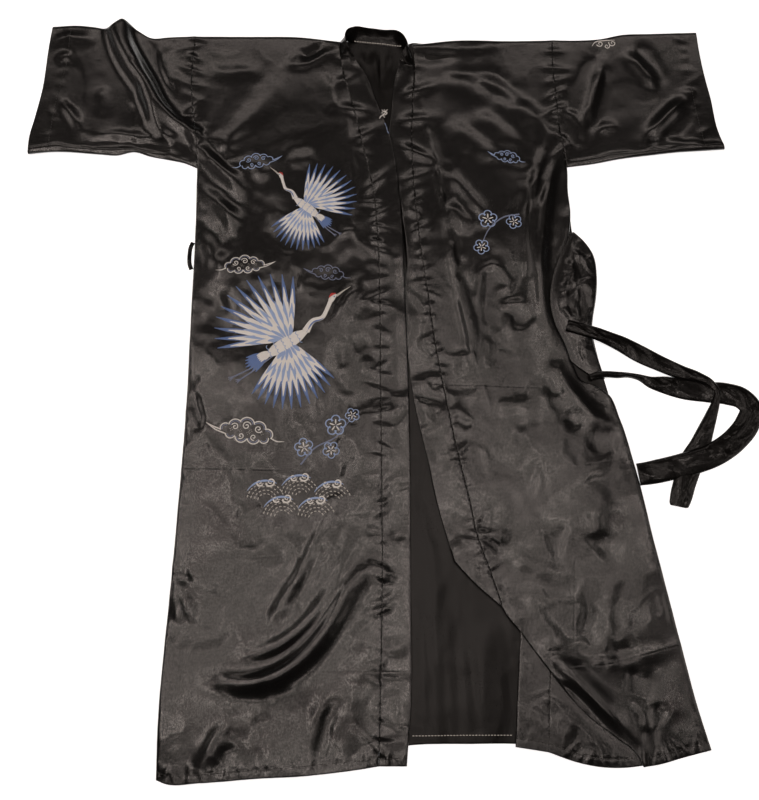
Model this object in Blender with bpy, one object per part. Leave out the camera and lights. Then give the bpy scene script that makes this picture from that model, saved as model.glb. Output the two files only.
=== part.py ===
"""A black satin kimono robe, laid out flat and open on its back, with its belt.

X runs across the robe, towards the wearer's left. Y runs up it, towards the collar, and Z up
from the surface it lies on. The origin is on that surface, under the middle of the back.
Right and left are the wearer's, so the right front is on the -X side.
"""

from collections import namedtuple

import bmesh
import bpy
import numpy as np

# Tables and sizes are in millimetres, and meshes in metres.
METRES = 0.001
WALL = 1.6
GAP = 0.3
LAYER = WALL + GAP
SEAM = 0.4
ARMHOLE_SEAM = 0.7
COLLAR_WALL = 2.0
CUFF_MOUTH = 2.4
SLEEVE_EASE = 0.5
EDGE_ROUND = 6
EDGE_TURN = 0.45
BELT_WALL = 1.7
CARRIER_WIDTH = 7
CARRIER_WALL = 1.5

# How far in from the pleat's edge its hidden layers lift the left front, and thicken it.
PLEAT_LIFT = (30, 75)
PLEAT_ROLL = (8, 34)
# The same for the edge of the side opening, over the pocket bag.
OPENING_LIFT = (24, 60)
# How high the pocket bag puffs, and between what distances outside the opening's edge it rises.
POCKET_RISE = 4.5
POCKET_PUFF = (26, 4)
# How high each band's free edge stands at the collar, and how far down it still stands.
RIGHT_STAND, RIGHT_STAND_REACH = 7.5, 130
LEFT_STAND, LEFT_STAND_REACH = 9.0, 90
# The right band climbs over the left one between these heights on the robe.
OVERLAP_CLIMB = (-80, -200)
OVERLAP_PART = 0.6


class Line:
    """A smooth line through a table's rows. at() gives the place at a share of its length."""

    def __init__(self, *rows):
        self.rows = np.array(rows, float)
        steps = np.linalg.norm(np.diff(self.rows, axis=0), axis=1)
        slopes = np.diff(self.rows, axis=0) / steps[:, None]
        mixed = slopes[:-1] * steps[1:, None] + slopes[1:] * steps[:-1, None]
        inner = mixed / (steps[:-1] + steps[1:])[:, None]
        self.slopes = np.vstack([slopes[:1], inner, slopes[-1:]])
        self.steps = steps
        self.reach = np.concatenate([[0], np.cumsum(steps)])

    def at(self, share):
        run = np.atleast_1d(np.asarray(share, float)) * self.reach[-1]
        part = np.clip(np.searchsorted(self.reach, run, "right") - 1, 0, len(self.steps) - 1)
        step = self.steps[part][:, None]
        t = (run - self.reach[part])[:, None] / step
        start, end = self.rows[part], self.rows[part + 1]
        leave, arrive = self.slopes[part] * step, self.slopes[part + 1] * step
        rise = t * t * (3 - 2 * t)
        return start + (end - start) * rise + leave * t * (1 - t) ** 2 - arrive * t * t * (1 - t)


# Outlines, as rows of (x, y) from the hem or the cuff towards the collar.
RIGHT_SIDE = [(-317, -558), (-318, -450), (-311, -279), (-305, -80), (-304, 168), (-308, 404)]
RIGHT_ARMHOLE = [(-308, 404), (-309, 430), (-311, 459), (-316, 488), (-321, 516), (-325, 555),
                 (-326, 615), (-323, 662)]
RIGHT_BAND_SEAM = [(-1, -540), (4, -300), (2, 0), (-2, 250), (-8, 346), (-27, 440), (-46, 526),
                   (-64, 592), (-68, 622)]
RIGHT_BAND_EDGE = [(39, -540), (46, -450), (47, -300), (45, 83), (42, 168), (34, 346), (15, 478),
                   (-1, 520), (-25, 582), (-44, 612)]
RIGHT_HEM = [(-317, -558), (-304, -563), (-254, -562), (-170, -556), (-113, -553), (-42, -546),
             (-1, -540)]
RIGHT_SHOULDER = [(-323, 662), (-228, 662), (-140, 661), (-72, 652)]

LEFT_SIDE_LOW = [(474, -518), (462, -470), (442, -366), (416, -227), (391, -88), (377, -32),
                 (362, 8)]
SIDE_OPENING = [(362, 8), (341, 24), (321, 31), (308, 58), (297, 93), (282, 130), (277, 168),
                (281, 200), (294, 240), (312, 280), (317, 319)]
LEFT_SIDE_HIGH = [(317, 319), (316, 365), (317, 406)]
LEFT_ARMHOLE = [(317, 406), (314, 430), (310, 460), (307, 490), (305, 536), (302, 595),
                (303, 654)]
LEFT_BAND_SEAM = [(182, -320), (178, -306), (169, -276), (149, -219), (137, -158), (120, -80), (105, 0),
                  (91, 83), (80, 168), (68, 256), (59, 346), (55, 440), (57, 536), (61, 600)]
LEFT_BAND_EDGE = [(112, -252), (98, -204), (86, -158), (74, -96), (58, -25), (48, 40), (40, 120),
                  (36, 256), (26, 360), (15, 470), (20, 516), (24, 565), (34, 605)]
LEFT_SHOULDER = [(57, 645), (142, 654), (212, 653), (303, 654)]
# The fronts' last grid step, where they turn down at the shoulder.
SHOULDER_ZONE = (0.004, 1)
LEFT_HEM = [(375, -541), (400, -537), (428, -530), (474, -518)]

# The pleat's visible edge, from the hem up to the left band's free edge.
PLEAT = [(375, -541), (366, -523), (342, -504), (301, -472), (268, -436), (242, -402), (209, -357),
         (182, -320), (142, -285), (112, -252)]
PLEAT_HEM_ROWS = 7

CORNER_SEAM = [(241, -521), (246, -450), (250, -408), (256, -374)]
CORNER_HIDDEN = [(256, -374), (290, -424), (330, -470), (366, -498), (392, -524)]
CORNER_HEM = [(241, -521), (279, -534), (314, -541), (349, -542), (377, -539)]
BAND_END_EDGE = [(194, -514), (199, -450), (204, -394), (207, -361), (209, -330)]
BAND_END_HEM = [(194, -514), (215, -517), (241, -521)]

BACK_HEM = [(-314, -553), (-150, -545), (-42, -530), (45, -512), (130, -510), (194, -510),
            (260, -516), (340, -522), (420, -520), (468, -512)]
BACK_LEFT_SIDE = [(468, -512), (437, -364), (411, -226), (386, -88), (372, -32), (357, 30),
                  (340, 120), (326, 220), (317, 319), (316, 365), (317, 406)]
BACK_NECK = [(-323, 655), (-228, 655), (-140, 653), (-84, 646), (-60, 645), (-20, 644), (20, 636),
             (46, 631), (72, 636), (142, 645), (212, 645), (303, 647)]

RIGHT_SLEEVE_LOW = [(-308, 404), (-329, 413), (-355, 419), (-389, 426), (-415, 434), (-445, 428),
                    (-474, 430), (-559, 434), (-595, 430)]
RIGHT_SLEEVE_TOP = [(-323, 662), (-369, 660), (-400, 658), (-425, 673), (-451, 690), (-474, 676),
                    (-502, 680), (-531, 683), (-575, 680)]
RIGHT_CUFF = [(-595, 430), (-595, 459), (-589, 497), (-581, 556), (-578, 635), (-575, 680)]
LEFT_SLEEVE_LOW = [(317, 406), (356, 411), (407, 421), (459, 428), (510, 434), (544, 436),
                   (585, 439)]
LEFT_SLEEVE_TOP = [(303, 654), (344, 653), (388, 656), (424, 664), (477, 666), (556, 668)]
LEFT_CUFF = [(585, 439), (575, 478), (569, 536), (563, 575), (558, 625), (556, 668)]

# The collar from the right front round the neck to the left front, as rows of
# (seam x, y, z, free edge x, y, z).
COLLAR = [(-66.5, 623, 2.0, -43.6, 613.4, 13), (-68, 640, 2.0, -54, 632, 21),
          (-66, 652, 2.0, -58.5, 647, 25), (-59, 652, 2.0, -55, 659, 25),
          (-46, 648.5, 1.9, -43, 667.5, 22), (-20, 645.5, 1.9, -18.5, 665.5, 20),
          (6, 643, 1.9, 7, 663, 19), (26, 639.5, 2.0, 31, 659.5, 21), (42, 636.5, 2.1, 41.5, 646, 24),
          (51, 631, 2.1, 46.5, 632, 23), (58, 616, 2.1, 38, 618, 18), (58.6, 600.5, 2.1, 34, 605.5, 13)]

# The pocket bag, from its lower tip to its top, along its hidden side and its outer edge.
POCKET_INNER = [(340, 34), (303, 66), (283, 112), (266, 150), (261, 180), (268, 222), (288, 262),
                (311, 286)]
POCKET_OUTER = [(357, 34), (346, 79), (341, 108), (344, 134), (351, 168), (355, 204), (350, 250),
                (338, 270), (322, 287)]

# The belt's stretches, as rows of (x, y, underside, width). It is narrow where it twists.
BELT_TAIL = [(300, 122, 8.8, 20), (322, 115, 8.8, 21), (348, 107, 8.6, 22), (368, 100, 4.6, 24),
             (385, 93, 2.2, 27), (416, 75, 2.2, 30), (445, 60, 2.2, 27), (478, 45, 2.2, 24),
             (506, 36, 2.2, 18), (524, 26, 2.2, 13), (532, 13, 2.2, 11), (529, -3, 2.2, 13),
             (520, -26, 0.8, 19), (510, -48, 0.3, 25), (498, -74, 0, 32), (482, -101, 0, 37),
             (470, -131, 0, 37), (457, -169, 0, 38)]
BELT_LOOP = [(332, 35, 5.6, 10), (346, 40, 5.6, 11), (360, 41, 4.6, 11), (378, 41, 1.0, 11), (394, 41, 0, 9),
             (412, 37, 0, 11), (430, 29, 0, 20), (454, 24, 0, 30), (480, 18, 0, 34),
             (516, 13, 0, 34), (548, 10, 0, 36), (572, 2, 0, 36), (584, -14, 0, 36),
             (576, -38, 0, 38), (556, -62, 0.6, 38), (522, -86, 2.2, 38), (482, -101, 2.2, 38),
             (448, -110, 2.2, 37), (430, -114, 1.0, 37), (414, -117, 0, 36), (399, -119, 0, 35)]
CARRIER = [(-308.2, 269), (-311.4, 260), (-312.5, 248), (-312.5, 240), (-311.4, 230),
           (-308.2, 221)]

# Folds. A fold stands "rise" over the cloth, and falls away over "left" and "right" of its
# route. "start" and "end" are the share of its rise that it keeps there, reached over the
# first and last FOLD_FADE of its length.
Fold = namedtuple("Fold", "rise left right start end route")
FOLD_FADE = 0.35
FRONT_FOLDS = [
    Fold(12, 11, 18, 0.0, 0.4, [(-276, -411), (-240, -419), (-203, -426), (-160, -418), (-118, -393),
                                (-86, -358), (-62, -318), (-42, -284), (-22, -266), (0, -267)]),
    Fold(6, 12, 11, 0.0, 0.2, [(-235, -388), (-180, -385), (-132, -363), (-97, -331), (-68, -290),
                               (-48, -248), (-30, -212)]),
    Fold(5, 10, 12, 0.0, 0.3, [(-172, -348), (-140, -308), (-113, -262), (-96, -222), (-84, -186)]),
    Fold(7, 14, 14, 0.6, 0.0, [(-312, 466), (-290, 428), (-255, 392), (-212, 348)]),
    Fold(5, 14, 16, 0.3, 0.0, [(-302, 372), (-262, 335), (-228, 290)]),
    Fold(4, 13, 14, 0.3, 0.0, [(-300, 290), (-272, 250), (-250, 200)]),
    Fold(3, 10, 8, 0.3, 0.0, [(-66, 570), (-58, 500), (-50, 430), (-44, 370), (-38, 300), (-38, 240)]),
    Fold(3, 13, 13, 0.0, 0.0, [(-16, 228), (-52, 160), (-84, 96)]),
    Fold(4, 12, 14, 0.3, 0.0, [(-262, -556), (-236, -508), (-206, -462)]),
    Fold(3, 10, 12, 0.7, 0.0, [(-311, -262), (-290, -300), (-270, -338)]),
    Fold(12, 14, 13, 0.9, 0.3, [(-468, 674), (-457, 640), (-436, 598), (-412, 562), (-394, 520),
                                (-374, 478), (-350, 440)]),
    Fold(14, 11, 15, 0.9, 0.4, [(-451, 690), (-440, 645), (-420, 604), (-396, 562), (-374, 520),
                                (-346, 488), (-311, 470)]),
    Fold(5, 20, 8, 0.2, 0.0, [(62, 570), (78, 510), (90, 440), (106, 350), (118, 280), (128, 200),
                              (142, 128), (156, 60), (170, 10), (190, -40), (216, -78)]),
    Fold(6, 10, 10, 0.2, 0.2, [(296, 470), (270, 412), (256, 350), (250, 280), (248, 210),
                               (232, 168)]),
    Fold(8, 11, 10, 0.2, 0.2, [(314, 452), (290, 400), (276, 340), (266, 270), (262, 200),
                               (266, 140), (280, 90)]),
    Fold(5, 13, 11, 0.0, 0.4, [(140, 590), (204, 558), (250, 516), (292, 474)]),
    Fold(4, 12, 13, 0.0, 0.0, [(104, 404), (146, 356), (182, 306)]),
    Fold(3, 8, 9, 0.0, 0.0, [(190, 152), (216, 161), (250, 150)]),
    Fold(9, 14, 20, 0.1, 0.1, [(375, -518), (346, -484), (310, -446), (270, -405), (232, -356)]),
    Fold(4, 12, 10, 0.0, 0.3, [(326, -400), (338, -330), (350, -262)]),
    Fold(6, 13, 14, 0.5, 0.0, [(282, 46), (304, 8), (328, -26), (378, -56)]),
    Fold(3, 14, 14, 0.0, 0.0, [(180, -236), (236, -262), (292, -282)]),
    Fold(7, 10, 13, 0.2, 0.2, [(530, 538), (504, 512), (474, 480), (450, 452)]),
    Fold(5, 9, 10, 0.2, 0.0, [(388, 612), (374, 560), (358, 508), (342, 470)]),
    Fold(4, 14, 12, 0.0, 0.0, [(424, 632), (458, 590), (484, 552)]),
]
BACK_FOLDS = [
    Fold(4, 12, 12, 0.0, 0.6, [(76, -200), (81, -320), (83, -506)]),
    Fold(3, 11, 11, 0.0, 0.5, [(119, -345), (124, -420), (131, -506)]),
    Fold(3, 11, 11, 0.0, 0.5, [(156, -330), (160, -410), (168, -506)]),
    Fold(3, 9, 9, 0.0, 0.0, [(-14, 632), (-8, 560), (-4, 520)]),
]


def ease(distance, full, none):
    """1 up to one distance, falling smoothly to 0 at the other."""
    t = np.clip((none - distance) / (none - full), 0, 1)
    return t * t * (3 - 2 * t)


def from_route(x, y, route, pieces=24):
    """Each place's distance from a route, the share along it, and whether it lies to its left."""
    path = Line(*route).at(np.linspace(0, 1, pieces + 1))
    nearest = np.full(np.shape(x), np.inf)
    share = np.zeros(np.shape(x))
    left = np.zeros(np.shape(x), bool)
    for number, (start, end) in enumerate(zip(path, path[1:])):
        run = end - start
        off_x, off_y = x - start[0], y - start[1]
        along = np.clip((off_x * run[0] + off_y * run[1]) / (run @ run), 0, 1)
        distance = np.hypot(off_x - along * run[0], off_y - along * run[1])
        closer = distance < nearest
        nearest = np.where(closer, distance, nearest)
        share = np.where(closer, (number + along) / pieces, share)
        left = np.where(closer, run[0] * off_y - run[1] * off_x > 0, left)
    return nearest, share, left


def height_of(folds, x, y):
    height = np.zeros(np.shape(x))
    for fold in folds:
        distance, share, left = from_route(x, y, fold.route)
        start = fold.start + (1 - fold.start) * ease(FOLD_FADE - share, 0, FOLD_FADE)
        end = fold.end + (1 - fold.end) * ease(share - (1 - FOLD_FADE), 0, FOLD_FADE)
        spread = np.where(left, fold.left, fold.right)
        height += fold.rise * start * end * np.exp(-((distance / spread) ** 2))
    return height


def back_top(x, y):
    return WALL + height_of(BACK_FOLDS, x, y)


def left_lift(x, y):
    """What the pleat's hidden layers and the pocket bag add under the left front."""
    pleat = from_route(x, y, PLEAT)[0]
    opening = from_route(x, y, SIDE_OPENING[1:-1])[0]
    return LAYER * ease(pleat, *PLEAT_LIFT) + LAYER * ease(opening, *OPENING_LIFT)


def front_under(x, y):
    """Underside of what lies straight on the back."""
    return back_top(x, y) + GAP + height_of(FRONT_FOLDS, x, y)


def left_front_under(x, y):
    return front_under(x, y) + left_lift(x, y)


def pleat_wall(x, y):
    """The cloth and the layer rolled under it at the pleat."""
    return WALL + LAYER * ease(from_route(x, y, PLEAT)[0], *PLEAT_ROLL)


def grid_shares(*zones):
    """Shares from 0 to 1, a zone for each pair of (share of the whole, steps in it)."""
    shares, reached = [0.0], 0.0
    for part, steps in zones:
        shares += [reached + part * (n + 1) / steps for n in range(steps)]
        reached += part
    return np.array(shares) / reached


def panel_places(left, right, start, end, across, along):
    """Plan of a panel between four edges: left and right run along it, start and end across."""
    left, right, start, end = (Line(*rows) for rows in (left, right, start, end))
    u, v = across[None, :, None], along[:, None, None]
    sides = (1 - u) * left.at(along)[:, None] + u * right.at(along)[:, None]
    ends = (1 - v) * start.at(across)[None] + v * end.at(across)[None]
    near = (1 - u) * left.at(0) + u * right.at(0)
    far = (1 - u) * left.at(1) + u * right.at(1)
    return sides + ends - (1 - v) * near - v * far


def raised(plan, height):
    return np.concatenate([plan, np.asarray(height)[..., None]], axis=-1)


def cloth(name, finish, lower, upper, tube=False):
    """A closed sheet: a grid moved to one face's places, then drawn out to the other's."""
    rows, columns = lower.shape[:2]
    bm = bmesh.new()
    bmesh.ops.create_grid(bm, x_segments=columns - 1, y_segments=rows - 1, size=1)
    row, column = bm.verts.layers.int.new("row"), bm.verts.layers.int.new("column")
    for vert in bm.verts:
        vert[row] = round((vert.co.y + 1) / 2 * (rows - 1))
        vert[column] = round((vert.co.x + 1) / 2 * (columns - 1))
        vert.co = lower[vert[row], vert[column]] * METRES
    if tube:
        bmesh.ops.remove_doubles(bm, verts=bm.verts, dist=1e-7)
    drawn = bmesh.ops.extrude_face_region(bm, geom=bm.faces[:])["geom"]
    for vert in drawn:
        if isinstance(vert, bmesh.types.BMVert):
            vert.co = upper[vert[row], vert[column]] * METRES
    bmesh.ops.recalc_face_normals(bm, faces=bm.faces)
    if bm.calc_volume(signed=True) < 0:
        bmesh.ops.reverse_faces(bm, faces=bm.faces)
    mesh = bpy.data.meshes.new(name)
    bm.to_mesh(mesh)
    bm.free()
    mesh.shade_smooth()
    mesh.set_sharp_from_angle(angle=0.7)
    mesh.materials.append(finish)
    piece = bpy.data.objects.new(name, mesh)
    robe.objects.link(piece)


def hidden_panel(name, plan):
    """A stretch that the pleat partly covers: it lies straight on the back."""
    low = back_top(plan[..., 0], plan[..., 1]) + GAP
    cloth(name, finishes["satin"], raised(plan, low), raised(plan, low + WALL))


def walled(places, wall):
    """The same places moved out by a wall along the surface's own normals."""
    across = np.gradient(places, axis=1)
    along = np.gradient(places, axis=0)
    normal = np.cross(across, along)
    return places + wall * normal / np.linalg.norm(normal, axis=2, keepdims=True)


def shifted(rows, dx, dy=0.0):
    return [(x + dx, y + dy) for x, y in rows]


def back():
    left = [BACK_HEM[0]] + shifted(RIGHT_SIDE[1:-1] + RIGHT_ARMHOLE[:-1], 1) + [BACK_NECK[0]]
    right = BACK_LEFT_SIDE + LEFT_ARMHOLE[1:-1] + [BACK_NECK[-1]]
    across = grid_shares((0.42, 6), (0.3, 10), (0.28, 5))
    along = grid_shares((0.45, 12), (0.55, 12))
    plan = panel_places(left, right, BACK_HEM, BACK_NECK, across, along)
    flat = raised(plan, np.zeros(plan.shape[:2]))
    top = raised(plan, back_top(plan[..., 0], plan[..., 1]))
    cloth("back", finishes["satin_wrong_side"], flat, top)


def front_panel(name, plan, low, thick):
    """A front, whose last row turns down over the back's shoulder edge."""
    low[-1] = GAP
    cloth(name, finishes["satin"], raised(plan, low), raised(plan, low + thick))


def right_front():
    left = RIGHT_SIDE[:-1] + RIGHT_ARMHOLE
    right = shifted(RIGHT_BAND_SEAM, -SEAM) + [(-72, 652)]
    hem = RIGHT_HEM[:-1] + [right[0]]
    across = grid_shares((1.0, 15))
    along = grid_shares((0.08, 3), (0.19, 17), (0.45, 13), (0.276, 13), SHOULDER_ZONE)
    plan = panel_places(left, right, hem, RIGHT_SHOULDER, across, along)
    front_panel("right_front", plan, front_under(plan[..., 0], plan[..., 1]), WALL)


def left_front():
    left = PLEAT[:PLEAT_HEM_ROWS] + shifted(LEFT_BAND_SEAM, SEAM) + [(57, 645)]
    right = LEFT_SIDE_LOW[:-1] + SIDE_OPENING[:-1] + LEFT_SIDE_HIGH[:-1] + LEFT_ARMHOLE
    across = grid_shares((0.03, 2), (0.85, 12), (0.12, 3))
    along = grid_shares((0.2, 10), (0.24, 11), (0.26, 16), (0.296, 12), SHOULDER_ZONE)
    plan = panel_places(left, right, LEFT_HEM, LEFT_SHOULDER, across, along)
    x, y = plan[..., 0], plan[..., 1]
    front_panel("left_front", plan, left_front_under(x, y), pleat_wall(x, y))


def left_front_corner():
    left = shifted(CORNER_SEAM, SEAM)
    right = [CORNER_HEM[-1], (384, -533), CORNER_HIDDEN[-1]]
    hem = [left[0]] + CORNER_HEM[1:]
    hidden = [left[-1]] + CORNER_HIDDEN[1:]
    shares = grid_shares((1.0, 8))
    hidden_panel("left_front_corner", panel_places(left, right, hem, hidden, shares, shares))


def right_band():
    """The band rises from its seam to lie over the left band, and stands up towards the neck."""
    seam, edge = shifted(RIGHT_BAND_SEAM, SEAM), RIGHT_BAND_EDGE
    hem = [seam[0], (19, -540), edge[0]]
    neck = [seam[-1], (-56, 617), edge[-1]]
    across, along = grid_shares((1.0, 3)), grid_shares((0.1, 4), (0.2, 14), (0.7, 24))
    plan = panel_places(seam, edge, hem, neck, across, along)
    x, y = plan[..., 0], plan[..., 1]
    over_left = LAYER * (1 - ease(y, OVERLAP_CLIMB[1], OVERLAP_CLIMB[0]))
    standing = RIGHT_STAND * ease(edge[-1][1] - y, 0, RIGHT_STAND_REACH) ** 2
    low = front_under(x, y) + over_left * np.minimum(1, across / OVERLAP_PART) + standing * across
    cloth("right_front_band", finishes["satin"], raised(plan, low), raised(plan, low + WALL))


def left_band():
    seam, edge = shifted(LEFT_BAND_SEAM, -SEAM), LEFT_BAND_EDGE
    end = [edge[0], (142, -285), seam[0]]
    neck = [edge[-1], (48, 602), seam[-1]]
    across, along = grid_shares((1.0, 3)), grid_shares((0.15, 7), (0.85, 33))
    plan = panel_places(edge, seam, end, neck, across, along)
    x, y = plan[..., 0], plan[..., 1]
    standing = LEFT_STAND * ease(edge[-1][1] - y, 0, LEFT_STAND_REACH) ** 2
    low = left_front_under(x, y) + standing * (1 - across)
    thick = pleat_wall(x, y)
    cloth("left_front_band", finishes["satin"], raised(plan, low), raised(plan, low + thick))


def left_band_end():
    seam = shifted(CORNER_SEAM, -SEAM)
    hem = BAND_END_HEM[:-1] + [seam[0]]
    hidden = [BAND_END_EDGE[-1], (233, -352), seam[-1]]
    across, along = grid_shares((1.0, 3)), grid_shares((1.0, 8))
    hidden_panel("left_front_band_end",
                 panel_places(BAND_END_EDGE, seam, hem, hidden, across, along))


def collar():
    rows = np.array(COLLAR, float)
    shares = np.linspace(0, 1, 29)
    seam, edge = Line(*rows[:, :3]).at(shares), Line(*rows[:, 3:]).at(shares)
    across = np.linspace(0, 1, 4)[None, :, None]
    inner = seam[:, None] * (1 - across) + edge[:, None] * across
    cloth("collar", finishes["satin"], inner, walled(inner, COLLAR_WALL))


def sleeve(name, low_edge, top_edge, armhole, cuff, rows):
    """A tube pressed flat: its ring goes up over the front layer and back under it."""
    deep = np.linalg.norm(np.subtract(armhole[-1], armhole[0]))
    rounded = EDGE_ROUND / deep
    across = grid_shares((rounded, 1), (1 - 2 * rounded, 12), (rounded, 1))
    plan = panel_places(low_edge, top_edge, armhole, cuff, across, rows)
    x, y = plan[..., 0], plan[..., 1]
    mouth = SLEEVE_EASE + CUFF_MOUTH * rows[:, None] ** 3
    top = 2 * WALL + mouth + height_of(FRONT_FOLDS, x, y)
    outer_front, outer_back = top, np.zeros_like(top)
    inner_front, inner_back = top - WALL, np.full_like(top, WALL)
    for side in (0, -1):
        outer_front[:, side] = outer_back[:, side] = top[:, side] / 2
        inner_front[:, side] = inner_back[:, side] = top[:, side] / 2
    inset = plan.copy()
    inset[:, 0] += EDGE_TURN * (plan[:, 1] - plan[:, 0])
    inset[:, -1] += EDGE_TURN * (plan[:, -2] - plan[:, -1])

    def ring(places, front, back):
        over = raised(places, front)
        under = raised(places, back)[:, -2::-1]
        return np.concatenate([over, under], axis=1)

    outer, inner = ring(plan, outer_front, outer_back), ring(inset, inner_front, inner_back)
    cloth(name, finishes["satin"], inner, outer, tube=True)


def right_sleeve():
    armhole = shifted(RIGHT_ARMHOLE, -ARMHOLE_SEAM)
    low = [armhole[0]] + RIGHT_SLEEVE_LOW[1:]
    top = [armhole[-1]] + RIGHT_SLEEVE_TOP[1:]
    sleeve("right_sleeve", low, top, armhole, RIGHT_CUFF, grid_shares((0.6, 10), (0.4, 5)))


def left_sleeve():
    armhole = shifted(LEFT_ARMHOLE, ARMHOLE_SEAM)
    low = [armhole[0]] + LEFT_SLEEVE_LOW[1:]
    top = [armhole[-1]] + LEFT_SLEEVE_TOP[1:]
    sleeve("left_sleeve", low, top, armhole, LEFT_CUFF, grid_shares((1.0, 12)))


def pocket():
    """The pocket bag: tucked flat under the front's edge, and puffed where it comes out."""
    start = [POCKET_INNER[0], POCKET_OUTER[0]]
    end = [POCKET_INNER[-1], POCKET_OUTER[-1]]
    across, along = grid_shares((1.0, 6)), grid_shares((1.0, 12))
    plan = panel_places(POCKET_INNER, POCKET_OUTER, start, end, across, along)
    distance, _, inside = from_route(plan[..., 0], plan[..., 1], SIDE_OPENING[1:-1])
    shown = np.where(inside, 0, 1 - ease(distance, POCKET_PUFF[1], POCKET_PUFF[0]))
    crown = np.sqrt(np.sin(np.pi * along)[:, None] * np.sin(np.pi * across)[None])
    puff = POCKET_RISE * shown * crown
    low = np.full(plan.shape[:2], LAYER)
    cloth("pocket_bag", finishes["satin"], raised(plan, low), raised(plan, low + WALL + puff))


def ribbon(name, finish, rows, wall, steps):
    """A strip of cloth along a route whose rows give its underside's height and its width."""
    line = Line(*rows).at(np.linspace(0, 1, steps + 1))
    run = np.gradient(line[:, :2], axis=0)
    side = np.stack([-run[:, 1], run[:, 0]], axis=1)
    side /= np.linalg.norm(side, axis=1, keepdims=True)
    across = np.linspace(-0.5, 0.5, 3)
    plan = line[:, None, :2] + across[None, :, None] * line[:, None, 3:4] * side[:, None]
    low = np.repeat(line[:, 2:3], len(across), axis=1)
    cloth(name, finish, raised(plan, low), raised(plan, low + wall))


def belt():
    ribbon("belt_free_end", finishes["belt_satin"], BELT_TAIL, BELT_WALL, 40)
    ribbon("belt_turned_end", finishes["belt_satin"], BELT_LOOP, BELT_WALL, 46)


def belt_carrier():
    rows = [(x, y, GAP, CARRIER_WIDTH) for x, y in CARRIER]
    ribbon("belt_carrier", finishes["satin"], rows, CARRIER_WALL, 10)


def satin(name, colour, roughness):
    material = bpy.data.materials.new(name)
    material.use_nodes = True
    shader = material.node_tree.nodes["Principled BSDF"]
    shader.inputs["Base Color"].default_value = (*colour, 1)
    shader.inputs["Roughness"].default_value = roughness
    shader.inputs["Metallic"].default_value = 0
    material.diffuse_color = (*colour, 1)
    return material


for old in list(bpy.data.objects):
    bpy.data.objects.remove(old)
robe = bpy.data.collections.new("kimono_robe")
bpy.context.scene.collection.children.link(robe)
finishes = {
    "satin": satin("black satin, right side", (0.03, 0.027, 0.025), 0.42),
    "satin_wrong_side": satin("black satin, wrong side", (0.035, 0.031, 0.029), 0.6),
    "belt_satin": satin("black satin of the belt", (0.025, 0.023, 0.021), 0.4),
}
back()
right_front()
left_front()
left_front_corner()
right_band()
left_band()
left_band_end()
collar()
right_sleeve()
left_sleeve()
pocket()
belt()
belt_carrier()
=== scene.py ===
"""The looks of the black satin kimono robe: its cloth, sewing and embroidery, laid flat.

Tables and sizes are in millimetres, X towards the wearer's left, Y towards the collar and Z up
from the surface, as in the solids. Right and left are the wearer's.
"""

import math
from collections import namedtuple

import bmesh
import bpy
import numpy as np
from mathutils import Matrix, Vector


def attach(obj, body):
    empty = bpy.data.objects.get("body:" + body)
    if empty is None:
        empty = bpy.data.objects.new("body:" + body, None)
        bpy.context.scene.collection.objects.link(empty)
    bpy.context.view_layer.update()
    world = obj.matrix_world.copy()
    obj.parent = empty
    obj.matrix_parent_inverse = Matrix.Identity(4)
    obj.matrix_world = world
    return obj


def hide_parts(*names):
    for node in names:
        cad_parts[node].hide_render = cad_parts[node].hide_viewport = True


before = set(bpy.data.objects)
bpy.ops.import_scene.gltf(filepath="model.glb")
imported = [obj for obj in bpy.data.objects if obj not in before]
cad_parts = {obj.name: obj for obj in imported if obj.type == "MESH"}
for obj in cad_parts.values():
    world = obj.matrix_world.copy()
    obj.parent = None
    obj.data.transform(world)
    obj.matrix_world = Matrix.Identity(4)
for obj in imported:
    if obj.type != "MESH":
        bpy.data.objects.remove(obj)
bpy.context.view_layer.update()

# The solids' walls and the gaps between their layers. The shell of cloth on their form is
# thinner, and it ends nearer to each seam's line.
METRES = 0.001
WALL = 1.6
GAP = 0.3
LAYER = WALL + GAP
SEAM = 0.05
CLOTH = 0.8

# Sizes of the sleeves, the collar, the pocket bag, the belt and its carrier.
SLEEVE_START, SLEEVE_LENGTH, SLEEVE_DEPTH = 305, 270, 250
SLEEVE_EASE, CUFF_MOUTH = 0.5, 2.4
SLEEVE_STEP, SLEEVE_STEP_REACH = 0.8, 30
SLEEVE_ROOM, SLEEVE_BELLY, SLEEVE_PULL = 0.6, 5, 3
SLEEVE_HOLLOW, SLEEVE_THINNEST = 0.05, 0.02
COLLAR_WALL, COLLAR_LENGTH, COLLAR_STEPS = 1.5, 220, 140
COLLAR_WIDTH, COLLAR_BOW, COLLAR_EASE = 40, 1.2, 0.25
POCKET_RISE, POCKET_CREASE, POCKET_PUFF = 4.5, 3.4, (26, 4)
BELT_WIDTH, BELT_STEP, BELT_COLUMNS = 38, 2.4, 17
BELT_THICK, BELT_THINNEST, BELT_EASE = 2.8, 0.6, 0.2
CARRIER_WIDTH, CARRIER_STEPS, CARRIER_COLUMNS = 7, 30, 9

# How layers climb over each other. A pair is where an effect is full, and where it ends.
PLEAT_LIFT = (30, 75)
PLEAT_ROLL = (8, 34)
PLEAT_PRESS = (4, 26)
OPENING_LIFT = (24, 60)
RIGHT_STAND, RIGHT_STAND_REACH = 7.5, 130
LEFT_STAND, LEFT_STAND_REACH = 9.0, 90
OVERLAP_CLIMB = (-80, -200)
OVERLAP_PART = 0.6
BAND_COVERED, BAND_COVERED_BELOW = (8, 16), (-60, 20)
COVERED_DIP = 0.9
ARMHOLE_FOOT = (-430, -400)

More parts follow.
